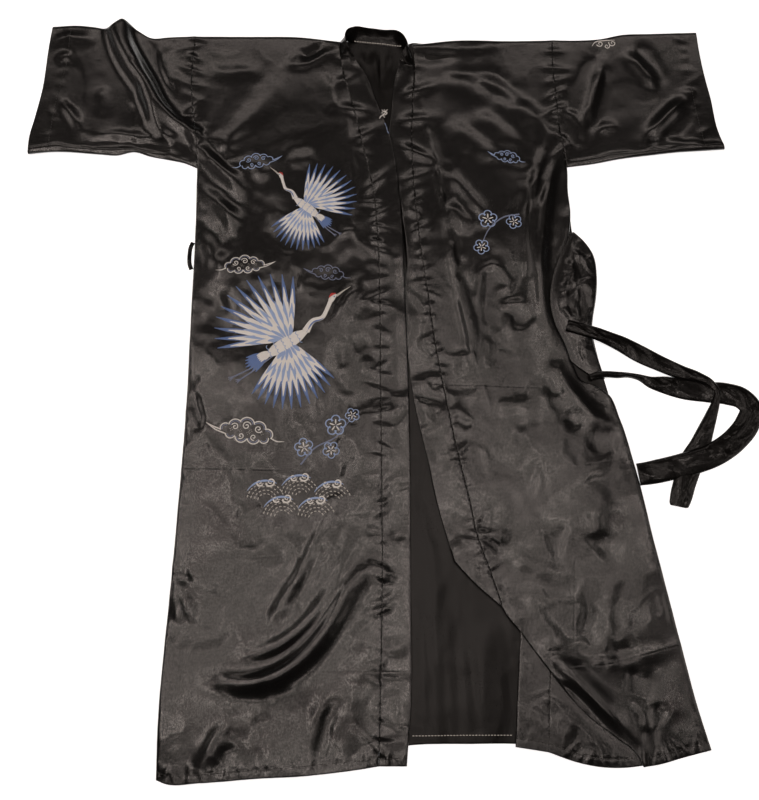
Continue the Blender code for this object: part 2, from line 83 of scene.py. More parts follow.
# The back is hidden on both sides, up to the first x and past the second one, which is counted
# the other way like the neck's y. Above that y it shows again.
BACK_FROM, BACK_TO, NECK_FROM = (10, 45), (-235, -200), (-640, -500)
BACK_LIVELY, BACK_RIPPLE, BACK_ROOM = 0.7, 0.9, (-0.6, 3)

# How lively the cloth's surface is.
FINE_RISE, FINE_SOFTER = 1.2, 1.3
RIPPLE, RIPPLE_BASE = 1.4, 1.0
FAN_WIDTH, FAN_RISE, FAN_WAVE, FAN_DRAW = 150, 1.9, 34, 0.25
FAN_NEAR, FAN_FAR = (30, 90), (110, 300)
CHEST_CALM, CHEST_FOOT = 0.85, (-420, -270)
TALL_FOLD, TALL_FOLD_CALM, TALL_FOLD_SIDES = 6, 0.6, (14, 50)
SINK_FROM, SINK_ROOM = -0.9, 1.1
CORNER_LIVELY, CORNER_ROOM = 0.7, (-0.6, 4.2)
FOLD_FADE = 0.35

# How far in an edge is rounded, and how far down.
PLAIN_EDGE, SEAM_EDGE, NECK_EDGE = (2.4, 1.1), (0.9, 0.2), (0.5, 0.1)
HEM_EDGE, SHOULDER_EDGE, BAND_EDGE = (2, 0.8), (7, 2.6), (2.6, 1.2)
PLEAT_END_EDGE, POCKET_SIDE_EDGE, POCKET_END_EDGE = (3, 1.4), (5, 1.6), (5, 1.2)


class Line:
    """A smooth line through a table's rows. at() gives the place at a share of its length."""

    def __init__(self, *rows):
        self.rows = np.array(rows, float)
        steps = np.linalg.norm(np.diff(self.rows, axis=0), axis=1)
        slopes = np.diff(self.rows, axis=0) / steps[:, None]
        mixed = slopes[:-1] * steps[1:, None] + slopes[1:] * steps[:-1, None]
        inner = mixed / (steps[:-1] + steps[1:])[:, None]
        self.slopes = np.vstack([slopes[:1], inner, slopes[-1:]])
        self.steps = steps
        self.reach = np.concatenate([[0], np.cumsum(steps)])
        self.length = self.reach[-1]

    def at(self, share):
        run = np.atleast_1d(np.asarray(share, float)) * self.length
        part = np.clip(np.searchsorted(self.reach, run, "right") - 1, 0, len(self.steps) - 1)
        step = self.steps[part][:, None]
        t = (run - self.reach[part])[:, None] / step
        start, end = self.rows[part], self.rows[part + 1]
        leave, arrive = self.slopes[part] * step, self.slopes[part + 1] * step
        rise = t * t * (3 - 2 * t)
        return start + (end - start) * rise + leave * t * (1 - t) ** 2 - arrive * t * t * (1 - t)


# Outlines, as rows of (x, y) from the hem or the cuff towards the collar.
RIGHT_SIDE = [(-317, -558), (-318, -450), (-311, -279), (-305, -80), (-304, 168), (-308, 404)]
RIGHT_ARMHOLE = [(-308, 404), (-309, 430), (-311, 459), (-316, 488), (-321, 516), (-325, 555),
                 (-326, 615), (-323, 662)]
RIGHT_BAND_SEAM = [(-1, -540), (4, -300), (2, 0), (-2, 250), (-8, 346), (-27, 440), (-46, 526),
                   (-64, 592), (-68, 622)]
RIGHT_BAND_EDGE = [(39, -540), (46, -450), (47, -300), (45, 83), (42, 168), (34, 346), (15, 478),
                   (-1, 520), (-25, 582), (-44, 612)]
RIGHT_HEM = [(-317, -558), (-304, -563), (-254, -562), (-170, -556), (-113, -553), (-42, -546),
             (-1, -540)]
RIGHT_SHOULDER = [(-323, 662), (-228, 662), (-140, 661), (-72, 652)]

LEFT_SIDE_LOW = [(474, -518), (462, -470), (442, -366), (416, -227), (391, -88), (377, -32),
                 (362, 8)]
SIDE_OPENING = [(362, 8), (341, 24), (321, 31), (308, 58), (297, 93), (282, 130), (277, 168),
                (281, 200), (294, 240), (312, 280), (317, 319)]
LEFT_SIDE_HIGH = [(317, 319), (316, 365), (317, 406)]
LEFT_ARMHOLE = [(317, 406), (314, 430), (310, 460), (307, 490), (305, 536), (302, 595),
                (303, 654)]
LEFT_BAND_SEAM = [(182, -320), (178, -306), (169, -276), (149, -219), (137, -158), (120, -80),
                  (105, 0), (91, 83), (80, 168), (68, 256), (59, 346), (55, 440), (57, 536),
                  (61, 600)]
LEFT_BAND_EDGE = [(112, -252), (98, -204), (86, -158), (74, -96), (58, -25), (48, 40), (40, 120),
                  (36, 256), (26, 360), (15, 470), (20, 516), (24, 565), (34, 605)]
LEFT_SHOULDER = [(57, 645), (142, 654), (212, 653), (303, 654)]
LEFT_HEM = [(375, -541), (400, -537), (428, -530), (474, -518)]

PLEAT = [(375, -541), (366, -523), (342, -504), (301, -472), (268, -436), (242, -402), (209, -357),
         (182, -320), (142, -285), (112, -252)]
PLEAT_HEM_ROWS = 7

CORNER_SEAM = [(241, -521), (246, -450), (250, -408), (256, -374)]
CORNER_HIDDEN = [(256, -374), (290, -424), (330, -470), (366, -498), (392, -524)]
CORNER_HEM = [(241, -521), (279, -534), (314, -541), (349, -542), (377, -539)]
BAND_END_EDGE = [(194, -514), (199, -450), (204, -394), (207, -361), (209, -330)]
BAND_END_HEM = [(194, -514), (215, -517), (241, -521)]

BACK_HEM = [(-314, -553), (-150, -545), (-42, -530), (45, -512), (130, -510), (194, -510),
            (260, -516), (340, -522), (420, -520), (468, -512)]
BACK_LEFT_SIDE = [(468, -512), (437, -364), (411, -226), (386, -88), (372, -32), (357, 30),
                  (340, 120), (326, 220)] + LEFT_SIDE_HIGH
BACK_NECK = [(-323, 655), (-228, 655), (-140, 653), (-84, 652), (-60, 653), (-20, 651), (20, 647),
             (46, 644), (56, 649), (72, 648), (142, 648), (212, 648), (303, 648)]

RIGHT_SLEEVE_LOW = [(-308, 404), (-329, 413), (-355, 419), (-389, 426), (-415, 434), (-445, 428),
                    (-474, 430), (-559, 434), (-595, 430)]
RIGHT_SLEEVE_TOP = [(-323, 662), (-369, 660), (-400, 658), (-425, 673), (-451, 690), (-474, 676),
                    (-502, 680), (-531, 683), (-575, 680)]
RIGHT_CUFF = [(-595, 430), (-595, 459), (-589, 497), (-581, 556), (-578, 635), (-575, 680)]
LEFT_SLEEVE_LOW = [(317, 406), (356, 411), (407, 421), (459, 428), (510, 434), (544, 436),
                   (585, 439)]
LEFT_SLEEVE_TOP = [(303, 654), (344, 653), (388, 656), (424, 664), (477, 666), (556, 668)]
LEFT_CUFF = [(585, 439), (575, 478), (569, 536), (563, 575), (558, 625), (556, 668)]

# The collar from the right front round the neck to the left front, as rows of
# (seam x, y, z, free edge x, y, z).
COLLAR = [(-66.5, 623, 2.0, -43.6, 613.4, 13), (-68, 640, 2.0, -54, 632, 21),
          (-66, 652, 2.0, -58.5, 647, 25), (-59, 652, 2.0, -55, 659, 25),
          (-46, 648.5, 1.9, -43, 667.5, 22), (-20, 645.5, 1.9, -18.5, 665.5, 20),
          (6, 643, 1.9, 7, 663, 19), (26, 639.5, 2.0, 31, 659.5, 21), (42, 636.5, 2.1, 41.5, 646, 24),
          (51, 631, 2.1, 46.5, 632, 23), (58, 616, 2.1, 38, 618, 18), (58.6, 600.5, 2.1, 34, 605.5, 13)]
BEHIND_NECK = np.array(COLLAR[3:9])

POCKET_INNER = [(340, 34), (303, 66), (283, 112), (266, 150), (261, 180), (268, 222), (288, 262),
                (311, 286)]
POCKET_OUTER = [(357, 34), (346, 79), (341, 108), (344, 134), (351, 168), (355, 204), (350, 250),
                (338, 270), (322, 287)]

# The belt's stretches, as rows of (x, y, underside, width). It is narrow where it twists.
BELT_TAIL = [(300, 122, 8.8, 20), (322, 115, 8.8, 21), (348, 107, 8.6, 22), (368, 100, 4.6, 24),
             (385, 93, 2.2, 27), (416, 75, 2.2, 30), (445, 60, 2.2, 27), (478, 45, 2.2, 24),
             (506, 36, 2.2, 18), (524, 26, 2.2, 13), (532, 13, 2.2, 11), (529, -3, 2.2, 13),
             (520, -26, 0.8, 19), (510, -48, 0.3, 25), (498, -74, 0, 32), (482, -101, 0, 37),
             (470, -131, 0, 35), (460, -160, 0, 32), (457.6, -166.5, 0, 29),
             (457, -169, 0, 24)]
BELT_LOOP = [(332, 35, 5.6, 10), (346, 40, 5.6, 11), (360, 41, 4.6, 11), (378, 41, 1.0, 11),
             (394, 41, 0, 9), (412, 37, 0, 11), (430, 29, 0, 20), (454, 24, 0, 30),
             (480, 18, 0, 34), (516, 13, 0, 34), (548, 10, 0, 36), (572, 2, 0, 36),
             (584, -14, 0, 36), (576, -38, 0, 38), (556, -62, 0.6, 38), (522, -86, 2.2, 38),
             (482, -101, 2.2, 38), (448, -110, 2.2, 37), (430, -114, 1.0, 37),
             (414, -117, 0, 36), (399, -119, 0, 35)]
CARRIER = [(-308.2, 269), (-311.4, 260), (-312.5, 248), (-312.5, 240), (-311.4, 230),
           (-308.2, 221)]

# Folds that the solids have too. A fold stands "rise" over the cloth, and falls away over
# "left" and "right" of its route, keeping the shares "start" and "end" of its rise there.
Fold = namedtuple("Fold", "rise left right start end route")
FRONT_FOLDS = [
    Fold(12, 11, 18, 0.0, 0.4, [(-276, -411), (-240, -419), (-203, -426), (-160, -418), (-118, -393),
                                (-86, -358), (-62, -318), (-42, -284), (-22, -266), (0, -267)]),
    Fold(6, 12, 11, 0.0, 0.2, [(-235, -388), (-180, -385), (-132, -363), (-97, -331), (-68, -290),
                               (-48, -248), (-30, -212)]),
    Fold(5, 10, 12, 0.0, 0.3, [(-172, -348), (-140, -308), (-113, -262), (-96, -222), (-84, -186)]),
    Fold(7, 14, 14, 0.6, 0.0, [(-312, 466), (-290, 428), (-255, 392), (-212, 348)]),
    Fold(5, 14, 16, 0.3, 0.0, [(-302, 372), (-262, 335), (-228, 290)]),
    Fold(4, 13, 14, 0.3, 0.0, [(-300, 290), (-272, 250), (-250, 200)]),
    Fold(3, 10, 8, 0.3, 0.0, [(-66, 570), (-58, 500), (-50, 430), (-44, 370), (-38, 300), (-38, 240)]),
    Fold(3, 13, 13, 0.0, 0.0, [(-16, 228), (-52, 160), (-84, 96)]),
    Fold(4, 12, 14, 0.3, 0.0, [(-262, -556), (-236, -508), (-206, -462)]),
    Fold(3, 10, 12, 0.7, 0.0, [(-311, -262), (-290, -300), (-270, -338)]),
    Fold(12, 14, 13, 0.9, 0.3, [(-468, 674), (-457, 640), (-436, 598), (-412, 562), (-394, 520),
                                (-374, 478), (-350, 440)]),
    Fold(14, 11, 15, 0.9, 0.4, [(-451, 690), (-440, 645), (-420, 604), (-396, 562), (-374, 520),
                                (-346, 488), (-311, 470)]),
    Fold(5, 20, 8, 0.2, 0.0, [(62, 570), (78, 510), (90, 440), (106, 350), (118, 280), (128, 200),
                              (142, 128), (156, 60), (170, 10), (190, -40), (216, -78)]),
    Fold(6, 10, 10, 0.2, 0.2, [(296, 470), (270, 412), (256, 350), (250, 280), (248, 210),
                               (232, 168)]),
    Fold(8, 11, 10, 0.2, 0.2, [(314, 452), (290, 400), (276, 340), (266, 270), (262, 200),
                               (266, 140), (280, 90)]),
    Fold(3.6, 17, 15, 0.0, 0.4, [(140, 590), (204, 558), (250, 516), (292, 474)]),
    Fold(4, 12, 13, 0.0, 0.0, [(104, 404), (146, 356), (182, 306)]),
    Fold(3, 8, 9, 0.0, 0.0, [(190, 152), (216, 161), (250, 150)]),
    Fold(9, 14, 20, 0.1, 0.1, [(375, -518), (346, -484), (310, -446), (270, -405), (232, -356)]),
    Fold(1.6, 12, 10, 0.0, 0.3, [(326, -400), (338, -330), (350, -262)]),
    Fold(6, 13, 14, 0.5, 0.0, [(282, 46), (304, 8), (328, -26), (378, -56)]),
    Fold(3, 14, 14, 0.0, 0.0, [(180, -236), (236, -262), (292, -282)]),
    Fold(7, 10, 13, 0.2, 0.2, [(530, 538), (504, 512), (474, 480), (450, 452)]),
    Fold(5, 9, 10, 0.2, 0.0, [(388, 612), (374, 560), (358, 508), (342, 470)]),
    Fold(4, 14, 12, 0.0, 0.0, [(424, 632), (458, 590), (484, 552)]),
]
BACK_FOLDS = [
    Fold(4, 12, 12, 0.0, 0.6, [(76, -200), (81, -320), (83, -506)]),
    Fold(3, 11, 11, 0.0, 0.5, [(119, -345), (124, -420), (131, -506)]),
    Fold(3, 11, 11, 0.0, 0.5, [(156, -330), (160, -410), (168, -506)]),
    Fold(3, 9, 9, 0.0, 0.0, [(-14, 632), (-8, 560), (-4, 520)]),
]

# Small folds of the back where it shows, inside the neck and above the hem.
BACK_FINE_FOLDS = [
    Fold(5.4, 7, 8, 0.3, 0.0, [(-36, 640), (-26, 590), (-14, 548)]),
    Fold(6.0, 6, 7, 0.3, 0.0, [(-8, 640), (-6, 590), (0, 530)]),
    Fold(5.0, 7, 6, 0.3, 0.0, [(20, 634), (16, 596), (8, 552)]),
    Fold(3.8, 8, 10, 0.0, 0.4, [(58, -280), (62, -380), (64, -504)]),
    Fold(2.6, 7, 9, 0.0, 0.4, [(98, -300), (103, -400), (106, -504)]),
    Fold(3.8, 9, 8, 0.0, 0.4, [(140, -340), (146, -420), (150, -504)]),
    Fold(2.4, 7, 7, 0.0, 0.4, [(172, -380), (178, -440), (186, -504)]),
    Fold(2.2, 9, 9, 0.0, 0.0, [(60, -140), (66, -200), (84, -270)]),
]

# Smaller troughs and ridges that only the cloth has. The first group lies on the
# right front, the second on the left one, and the third on the sleeves.
FINE_FOLDS = [
    Fold(2.2, 10, 10, 0.0, 0.3, [(-104, -316), (-82, -270), (-66, -226), (-52, -196)]),
    Fold(-2.0, 12, 11, 0.0, 0.2, [(-230, -400), (-172, -402), (-122, -376), (-84, -334), (-58, -288)]),
    Fold(-2.2, 6, 8, 0.0, 0.0, [(-150, -340), (-120, -290), (-92, -226), (-74, -180)]),
    Fold(-1.2, 13, 13, 0.0, 0.2, [(-232, -462), (-196, -452), (-150, -442)]),
    Fold(2.2, 6, 6, 0.4, 0.0, [(-314, -292), (-302, -318), (-292, -348)]),
    Fold(-2.2, 7, 7, 0.4, 0.0, [(-308, -268), (-296, -280), (-282, -288)]),
    Fold(1.8, 6, 6, 0.2, 0.0, [(-300, -296), (-286, -322), (-266, -346)]),
    Fold(1.5, 6, 7, 0.2, 0.2, [(-284, -346), (-262, -368), (-238, -358), (-226, -332), (-238, -302)]),
    Fold(-2.0, 9, 9, 0.0, 0.4, [(-204, -508), (-218, -528), (-234, -552)]),
    Fold(1.4, 9, 9, 0.0, 0.0, [(-214, -500), (-196, -478), (-188, -462)]),
    Fold(-1.6, 6, 7, 0.0, 0.0, [(-158, -462), (-174, -488), (-192, -516)]),
    Fold(-2.4, 7, 8, 0.0, 0.4, [(-56, -446), (-70, -478), (-82, -512), (-90, -548)]),
    Fold(2.0, 9, 10, 0.0, 0.2, [(-66, -428), (-86, -470), (-104, -520)]),
    Fold(-2.6, 9, 12, 0.0, 0.2, [(-8, -496), (-24, -516), (-42, -540)]),
    Fold(1.6, 8, 8, 0.0, 0.0, [(-30, -430), (-38, -470), (-30, -500)]),
    Fold(1.3, 7, 7, 0.0, 0.0, [(10, -462), (26, -450), (34, -476), (18, -492)]),
    Fold(1.2, 11, 7, 0.1, 0.5, [(-34, -412), (0, -410), (44, -411)]),
    Fold(-2.0, 9, 14, 0.1, 0.5, [(-14, -426), (20, -429), (45, -430)]),
    Fold(1.6, 7, 8, 0.0, 0.0, [(2, -216), (24, -226), (46, -224)]),
    Fold(1.6, 8, 8, 0.0, 0.0, [(4, -372), (24, -378), (46, -366)]),
    Fold(-2.0, 8, 9, 0.3, 0.0, [(-20, -198), (-2, -206), (24, -202)]),
    Fold(-3.0, 5, 6, 0.0, 0.0, [(-292, 18), (-283, -18), (-276, -58)]),
    Fold(-2.4, 9, 11, 0.0, 0.0, [(-286, 190), (-262, 164), (-244, 140)]),
    Fold(2.0, 9, 10, 0.0, 0.0, [(-248, 206), (-228, 166), (-214, 130)]),
    Fold(-2.6, 6, 7, 0.5, 0.0, [(-318, 500), (-296, 452), (-262, 412), (-234, 384)]),
    Fold(-2.4, 9, 12, 0.2, 0.0, [(-300, 388), (-256, 352), (-216, 318)]),
    Fold(-2.2, 9, 10, 0.2, 0.0, [(-298, 300), (-270, 262), (-242, 236)]),
    Fold(2.0, 10, 10, 0.0, 0.0, [(-284, 478), (-264, 448), (-236, 424)]),
    Fold(2.2, 9, 10, 0.0, 0.0, [(-216, 428), (-200, 404), (-184, 380)]),
    Fold(2.6, 10, 12, 0.0, 0.0, [(-160, 428), (-128, 424), (-104, 432)]),
    Fold(-2.0, 12, 14, 0.0, 0.0, [(-112, 372), (-84, 366), (-66, 350)]),
    Fold(1.8, 7, 8, 0.0, 0.0, [(-92, 590), (-84, 550), (-78, 500)]),
    Fold(1.5, 10, 12, 0.0, 0.0, [(-310, 596), (-250, 588), (-196, 594)]),
    Fold(-2.2, 8, 8, 0.3, 0.0, [(-104, 642), (-120, 622), (-140, 616)]),
    Fold(2.2, 8, 8, 0.3, 0.0, [(-76, 640), (-90, 626), (-120, 606), (-170, 606)]),
    Fold(-2.4, 9, 10, 0.0, 0.0, [(-14, 108), (-32, 96), (-46, 88)]),
    Fold(-2.2, 8, 9, 0.0, 0.0, [(-30, 250), (-42, 236), (-48, 214)]),
    Fold(1.8, 7, 8, 0.0, 0.0, [(-18, 186), (-42, 176), (-60, 150), (-48, 138)]),
    Fold(-2.2, 6, 7, 0.0, 0.0, [(-46, 96), (-56, 66), (-58, 48)]),
    Fold(1.8, 7, 8, 0.0, 0.0, [(-26, 74), (-16, 60), (-26, 40)]),
    Fold(-2.0, 6, 7, 0.0, 0.0, [(-66, -46), (-72, -76), (-78, -104)]),
    Fold(-2.6, 10, 10, 0.0, 0.0, [(-30, -78), (-56, -92), (-84, -128)]),
    Fold(1.8, 8, 10, 0.0, 0.0, [(-110, 60), (-104, 20), (-88, -30)]),

    Fold(-3.2, 8, 6, 0.3, 0.0, [(68, 560), (86, 480), (98, 420), (112, 350), (126, 270), (134, 200),
                                  (148, 128), (162, 60), (175, 8), (196, -42), (216, -76)]),
    Fold(-2.0, 10, 8, 0.0, 0.0, [(92, 500), (104, 430), (120, 370), (134, 310)]),
    Fold(2.4, 9, 9, 0.0, 0.0, [(112, 350), (132, 318), (154, 272)]),
    Fold(2.6, 13, 15, 0.0, 0.2, [(180, 548), (230, 510), (276, 462)]),
    Fold(2.8, 14, 17, 0.0, 0.2, [(150, 520), (200, 480), (256, 426)]),
    Fold(2.6, 14, 17, 0.0, 0.0, [(110, 500), (150, 462), (206, 404)]),
    Fold(2.2, 14, 16, 0.0, 0.0, [(104, 584), (150, 560), (196, 520)]),
    Fold(-2.0, 15, 15, 0.0, 0.2, [(150, 590), (206, 560), (260, 512)]),
    Fold(-1.4, 11, 12, 0.0, 0.0, [(100, 594), (140, 586), (196, 574), (226, 562)]),
    Fold(1.3, 7, 9, 0.4, 0.0, [(58, 638), (110, 632), (170, 638), (230, 644)]),
    Fold(-1.6, 9, 9, 0.4, 0.0, [(58, 618), (110, 620), (150, 626)]),
    Fold(1.8, 6, 6, 0.2, 0.2, [(166, 122), (157, 142), (162, 182), (172, 222), (186, 230), (204, 208),
                               (213, 190), (196, 181), (189, 166), (190, 152)]),
    Fold(1.8, 8, 10, 0.3, 0.0, [(190, 151), (208, 132), (232, 106)]),
    Fold(-2.6, 14, 15, 0.2, 0.2, [(212, 145), (226, 138), (238, 120)]),
    Fold(-2.2, 8, 8, 0.0, 0.0, [(236, 236), (234, 200), (222, 176), (204, 172)]),
    Fold(-2.4, 9, 10, 0.0, 0.0, [(260, 44), (272, 24), (292, 0)]),
    Fold(-2.8, 12, 13, 0.0, 0.0, [(298, -16), (306, -34), (318, -48)]),
    Fold(-4.0, 18, 17, 0.0, 0.0, [(318, -64), (346, -72), (380, -76)]),
    Fold(-1.4, 9, 9, 0.0, 0.0, [(206, 24), (222, 21), (236, 16)]),
    Fold(-2.4, 12, 12, 0.2, 0.0, [(338, 12), (352, 2), (366, -2)]),
    Fold(-2.6, 6, 7, 0.2, 0.0, [(60, 8), (76, 4), (96, 0), (112, -8)]),
    Fold(2.0, 7, 7, 0.2, 0.0, [(58, 22), (76, 34), (98, 40), (104, 60)]),
    Fold(-2.4, 5, 6, 0.0, 0.0, [(114, -22), (130, -32), (146, -44)]),
    Fold(2.0, 6, 6, 0.0, 0.0, [(112, -8), (130, -24), (150, -36)]),
    Fold(1.6, 9, 10, 0.0, 0.0, [(176, -20), (196, -8), (222, -6), (240, -30)]),
    Fold(-3.0, 7, 6, 0.0, 0.0, [(150, -214), (168, -224), (186, -242)]),
    Fold(2.0, 7, 7, 0.0, 0.0, [(146, -208), (172, -210), (194, -232)]),
    Fold(-2.4, 7, 7, 0.0, 0.0, [(150, -180), (156, -194), (154, -206)]),
    Fold(-2.4, 20, 19, 0.0, 0.0, [(246, -226), (262, -222), (284, -224)]),
    Fold(-2.6, 20, 20, 0.0, 0.0, [(290, -336), (312, -338), (332, -330)]),
    Fold(1.4, 8, 9, 0.0, 0.0, [(322, -168), (330, -186), (326, -206), (308, -196)]),
    Fold(-2.0, 16, 16, 0.0, 0.0, [(320, -242), (338, -226), (352, -208)]),
    Fold(1.6, 10, 12, 0.0, 0.0, [(206, -300), (244, -344), (292, -392)]),
    Fold(-2.2, 16, 9, 0.0, 0.0, [(334, -390), (358, -384), (384, -372)]),
    Fold(2.0, 6, 12, 0.3, 0.3, [(268, -405), (302, -403), (352, -394), (442, -372)]),
    Fold(-3.2, 8, 9, 0.0, 0.2, [(262, -414), (290, -446), (322, -480), (356, -512)]),
    Fold(-2.6, 15, 15, 0.0, 0.0, [(382, -404), (378, -432), (376, -456)]),
    Fold(-2.0, 10, 10, 0.0, 0.0, [(388, -462), (400, -472), (412, -480)]),
    Fold(-3.4, 6, 8, 0.0, 0.5, [(390, -486), (386, -510), (384, -536)]),
    Fold(2.0, 7, 8, 0.0, 0.2, [(362, -452), (382, -476), (374, -500)]),
    Fold(-2.0, 8, 8, 0.2, 0.0, [(232, -468), (250, -474), (258, -486)]),
    Fold(-2.2, 9, 9, 0.2, 0.0, [(292, -486), (286, -506), (292, -530)]),

    Fold(-2.8, 5, 5, 0.0, 0.0, [(-432, 612), (-416, 584), (-402, 552), (-392, 528)]),
    Fold(-3.0, 10, 9, 0.3, 0.0, [(-430, 676), (-404, 620), (-376, 560), (-340, 510)]),
    Fold(2.4, 10, 10, 0.2, 0.2, [(-390, 640), (-366, 590), (-340, 548)]),
    Fold(1.6, 2.4, 2.6, 0.6, 0.6, [(-590, 439), (-559, 442), (-474, 437), (-445, 435), (-415, 441),
                                   (-389, 433), (-355, 426), (-322, 419)]),
    Fold(1.5, 2.2, 2.4, 0.6, 0.6, [(326, 415), (356, 418), (407, 428), (459, 435), (510, 441),
                                   (580, 446)]),
    Fold(2.6, 7, 7, 0.0, 0.3, [(-545, 530), (-526, 504), (-506, 474)]),
    Fold(-2.6, 8, 8, 0.0, 0.0, [(-540, 614), (-528, 560), (-514, 500)]),
    Fold(2.2, 7, 6, 0.0, 0.3, [(-500, 464), (-440, 463), (-380, 459), (-322, 466)]),
    Fold(-2.2, 7, 7, 0.0, 0.3, [(-520, 452), (-450, 452), (-388, 446), (-340, 444)]),
    Fold(1.8, 9, 9, 0.0, 0.0, [(-580, 630), (-552, 656), (-512, 650), (-490, 640)]),
    Fold(1.8, 8, 8, 0.0, 0.0, [(-566, 606), (-548, 618), (-536, 612)]),
    Fold(-2.6, 9, 9, 0.0, 0.0, [(-420, 560), (-408, 520), (-402, 470)]),
    Fold(1.6, 10, 10, 0.0, 0.0, [(-486, 560), (-474, 530), (-478, 500)]),
    Fold(-2.6, 7, 9, 0.2, 0.0, [(376, 628), (360, 590), (340, 540), (328, 500)]),
    Fold(-2.4, 8, 8, 0.0, 0.0, [(400, 606), (386, 560), (372, 500), (362, 460)]),
    Fold(-2.6, 8, 10, 0.0, 0.0, [(446, 650), (476, 606), (498, 562)]),
    Fold(-1.8, 8, 8, 0.0, 0.0, [(404, 566), (440, 548), (484, 546)]),
    Fold(-3.0, 8, 9, 0.0, 0.0, [(540, 524), (520, 494), (482, 458)]),
    Fold(1.6, 8, 8, 0.0, 0.0, [(366, 486), (392, 480), (410, 490)]),
    Fold(-2.4, 4, 5, 0.0, 0.0, [(452, 464), (460, 460), (456, 444)]),
    Fold(2.2, 6, 6, 0.0, 0.5, [(476, 446), (520, 450), (560, 446), (584, 448)]),
    Fold(2.2, 8, 7, 0.5, 0.0, [(318, 512), (336, 500), (342, 480), (338, 452)]),
    Fold(-2.4, 7, 7, 0.5, 0.0, [(316, 484), (328, 470), (328, 446)]),
]


def ease(distance, full, none):
    """1 up to one distance, falling smoothly to 0 at the other."""
    t = np.clip((none - distance) / (none - full), 0, 1)
    return t * t * (3 - 2 * t)


def from_route(x, y, route, pieces=24):
    """Each place's distance from a route, the share along it, and whether it lies to its left."""
    path = Line(*route).at(np.linspace(0, 1, pieces + 1))
    nearest = np.full(np.shape(x), np.inf)
    share = np.zeros(np.shape(x))
    left = np.zeros(np.shape(x), bool)
    for number, (start, end) in enumerate(zip(path, path[1:])):
        run = end - start
        off_x, off_y = x - start[0], y - start[1]
        along = np.clip((off_x * run[0] + off_y * run[1]) / (run @ run), 0, 1)
        distance = np.hypot(off_x - along * run[0], off_y - along * run[1])
        closer = distance < nearest
        nearest = np.where(closer, distance, nearest)
        share = np.where(closer, (number + along) / pieces, share)
        left = np.where(closer, run[0] * off_y - run[1] * off_x > 0, left)
    return nearest, share, left


def fold_height(fold, x, y):
    distance, share, left = from_route(x, y, fold.route)
    start = fold.start + (1 - fold.start) * ease(FOLD_FADE - share, 0, FOLD_FADE)
    end = fold.end + (1 - fold.end) * ease(share - (1 - FOLD_FADE), 0, FOLD_FADE)
    spread = np.where(left, fold.left, fold.right)
    return fold.rise * start * end * np.exp(-((distance / spread) ** 2))


def heights_together(rows, height, reach, x, y):
    """The sum of all rows' heights, each worked out only within its reach of its own route."""
    total = np.zeros(np.shape(x))
    for row in rows:
        low, high = np.min(row.route, 0) - reach(row), np.max(row.route, 0) + reach(row)
        near = (x > low[0]) & (x < high[0]) & (y > low[1]) & (y < high[1])
        if near.any():
            total[near] += height(row, x[near], y[near])
    return total


def height_of(folds, x, y, softer=1.0):
    folds = [fold._replace(left=softer * fold.left, right=softer * fold.right) for fold in folds]
    return heights_together(folds, fold_height, lambda fold: 3 * max(fold.left, fold.right), x, y)


def soft_noise(x, y, size, seed):
    """Smooth values from -1 to 1 that change over about size."""
    table = np.random.default_rng(seed).uniform(-1, 1, (64, 64))
    across, along = x / size + 211.3, y / size + 173.7
    column, row = np.floor(across).astype(int), np.floor(along).astype(int)
    u, v = across - column, along - row
    u, v = u * u * (3 - 2 * u), v * v * (3 - 2 * v)
    corner = [[table[(row + j) % 64, (column + i) % 64] for i in (0, 1)] for j in (0, 1)]
    low = corner[0][0] * (1 - u) + corner[0][1] * u
    high = corner[1][0] * (1 - u) + corner[1][1] * u
    return low * (1 - v) + high * v


def wandered(x, y, reach=4):
    """Places moved a little, so that folds and waves run unevenly."""
    return (x + reach * soft_noise(x, y, 44, 11) + reach / 2 * soft_noise(x, y, 15, 12),
            y + reach * soft_noise(x, y, 44, 13) + reach / 2 * soft_noise(x, y, 15, 14))


def ridge(x, y, size, seed, sharpness=2.4):
    """1 along thin lines that wander, falling to 0 beside them."""
    return (1 - np.abs(soft_noise(x, y, size, seed)) * sharpness).clip(0)


# Satin's broad swells and thin random ridges, as rows of (rise, size, seed).
SWELLS = [(2.4, 104, 21), (1.5, 58, 22), (0.2, 26, 23)]
RIDGES = [(1.0, 66, 31), (0.4, 36, 32), (0.08, 19, 33)]


def ripple(x, y, strength=1.0):
    """The soft unevenness that satin keeps everywhere, with every other swell turned."""
    straight = wx, wy = wandered(x, y, 12)
    turned = 0.8 * wx + 0.6 * wy, 0.8 * wy - 0.6 * wx
    height = 0
    for (rise, size, seed), places in zip(SWELLS, (straight, turned, straight)):
        height = height + rise * soft_noise(*places, size, seed)
    ridges = 0
    for rise, size, seed in RIDGES:
        ridges = ridges + rise * ridge(*turned, size, seed) ** 2
    patchy = (0.55 + 0.9 * soft_noise(x, y, 120, 41)).clip(0.1, 1)
    return strength * (height + ridges * patchy)


# Rows of stitches next to the cuffs and hems.
RIGHT_CUFF_ROW = [(-562, 438), (-560, 470), (-555, 540), (-545, 600), (-542, 674)]
LEFT_CUFF_ROW = [(552, 442), (544, 500), (536, 575), (528, 660)]
RIGHT_HEM_ROW = [(-315, -548), (-304, -551), (-254, -550), (-170, -544), (-42, -534), (37, -528)]
CORNER_HEM_ROW = [(196, -502), (241, -509), (279, -522), (314, -529), (349, -530), (366, -529)]
LEFT_HEM_ROW = [(384, -527), (400, -525), (428, -518), (470, -507)]
BACK_HEM_ROW = [(47, -499), (130, -498), (192, -498)]

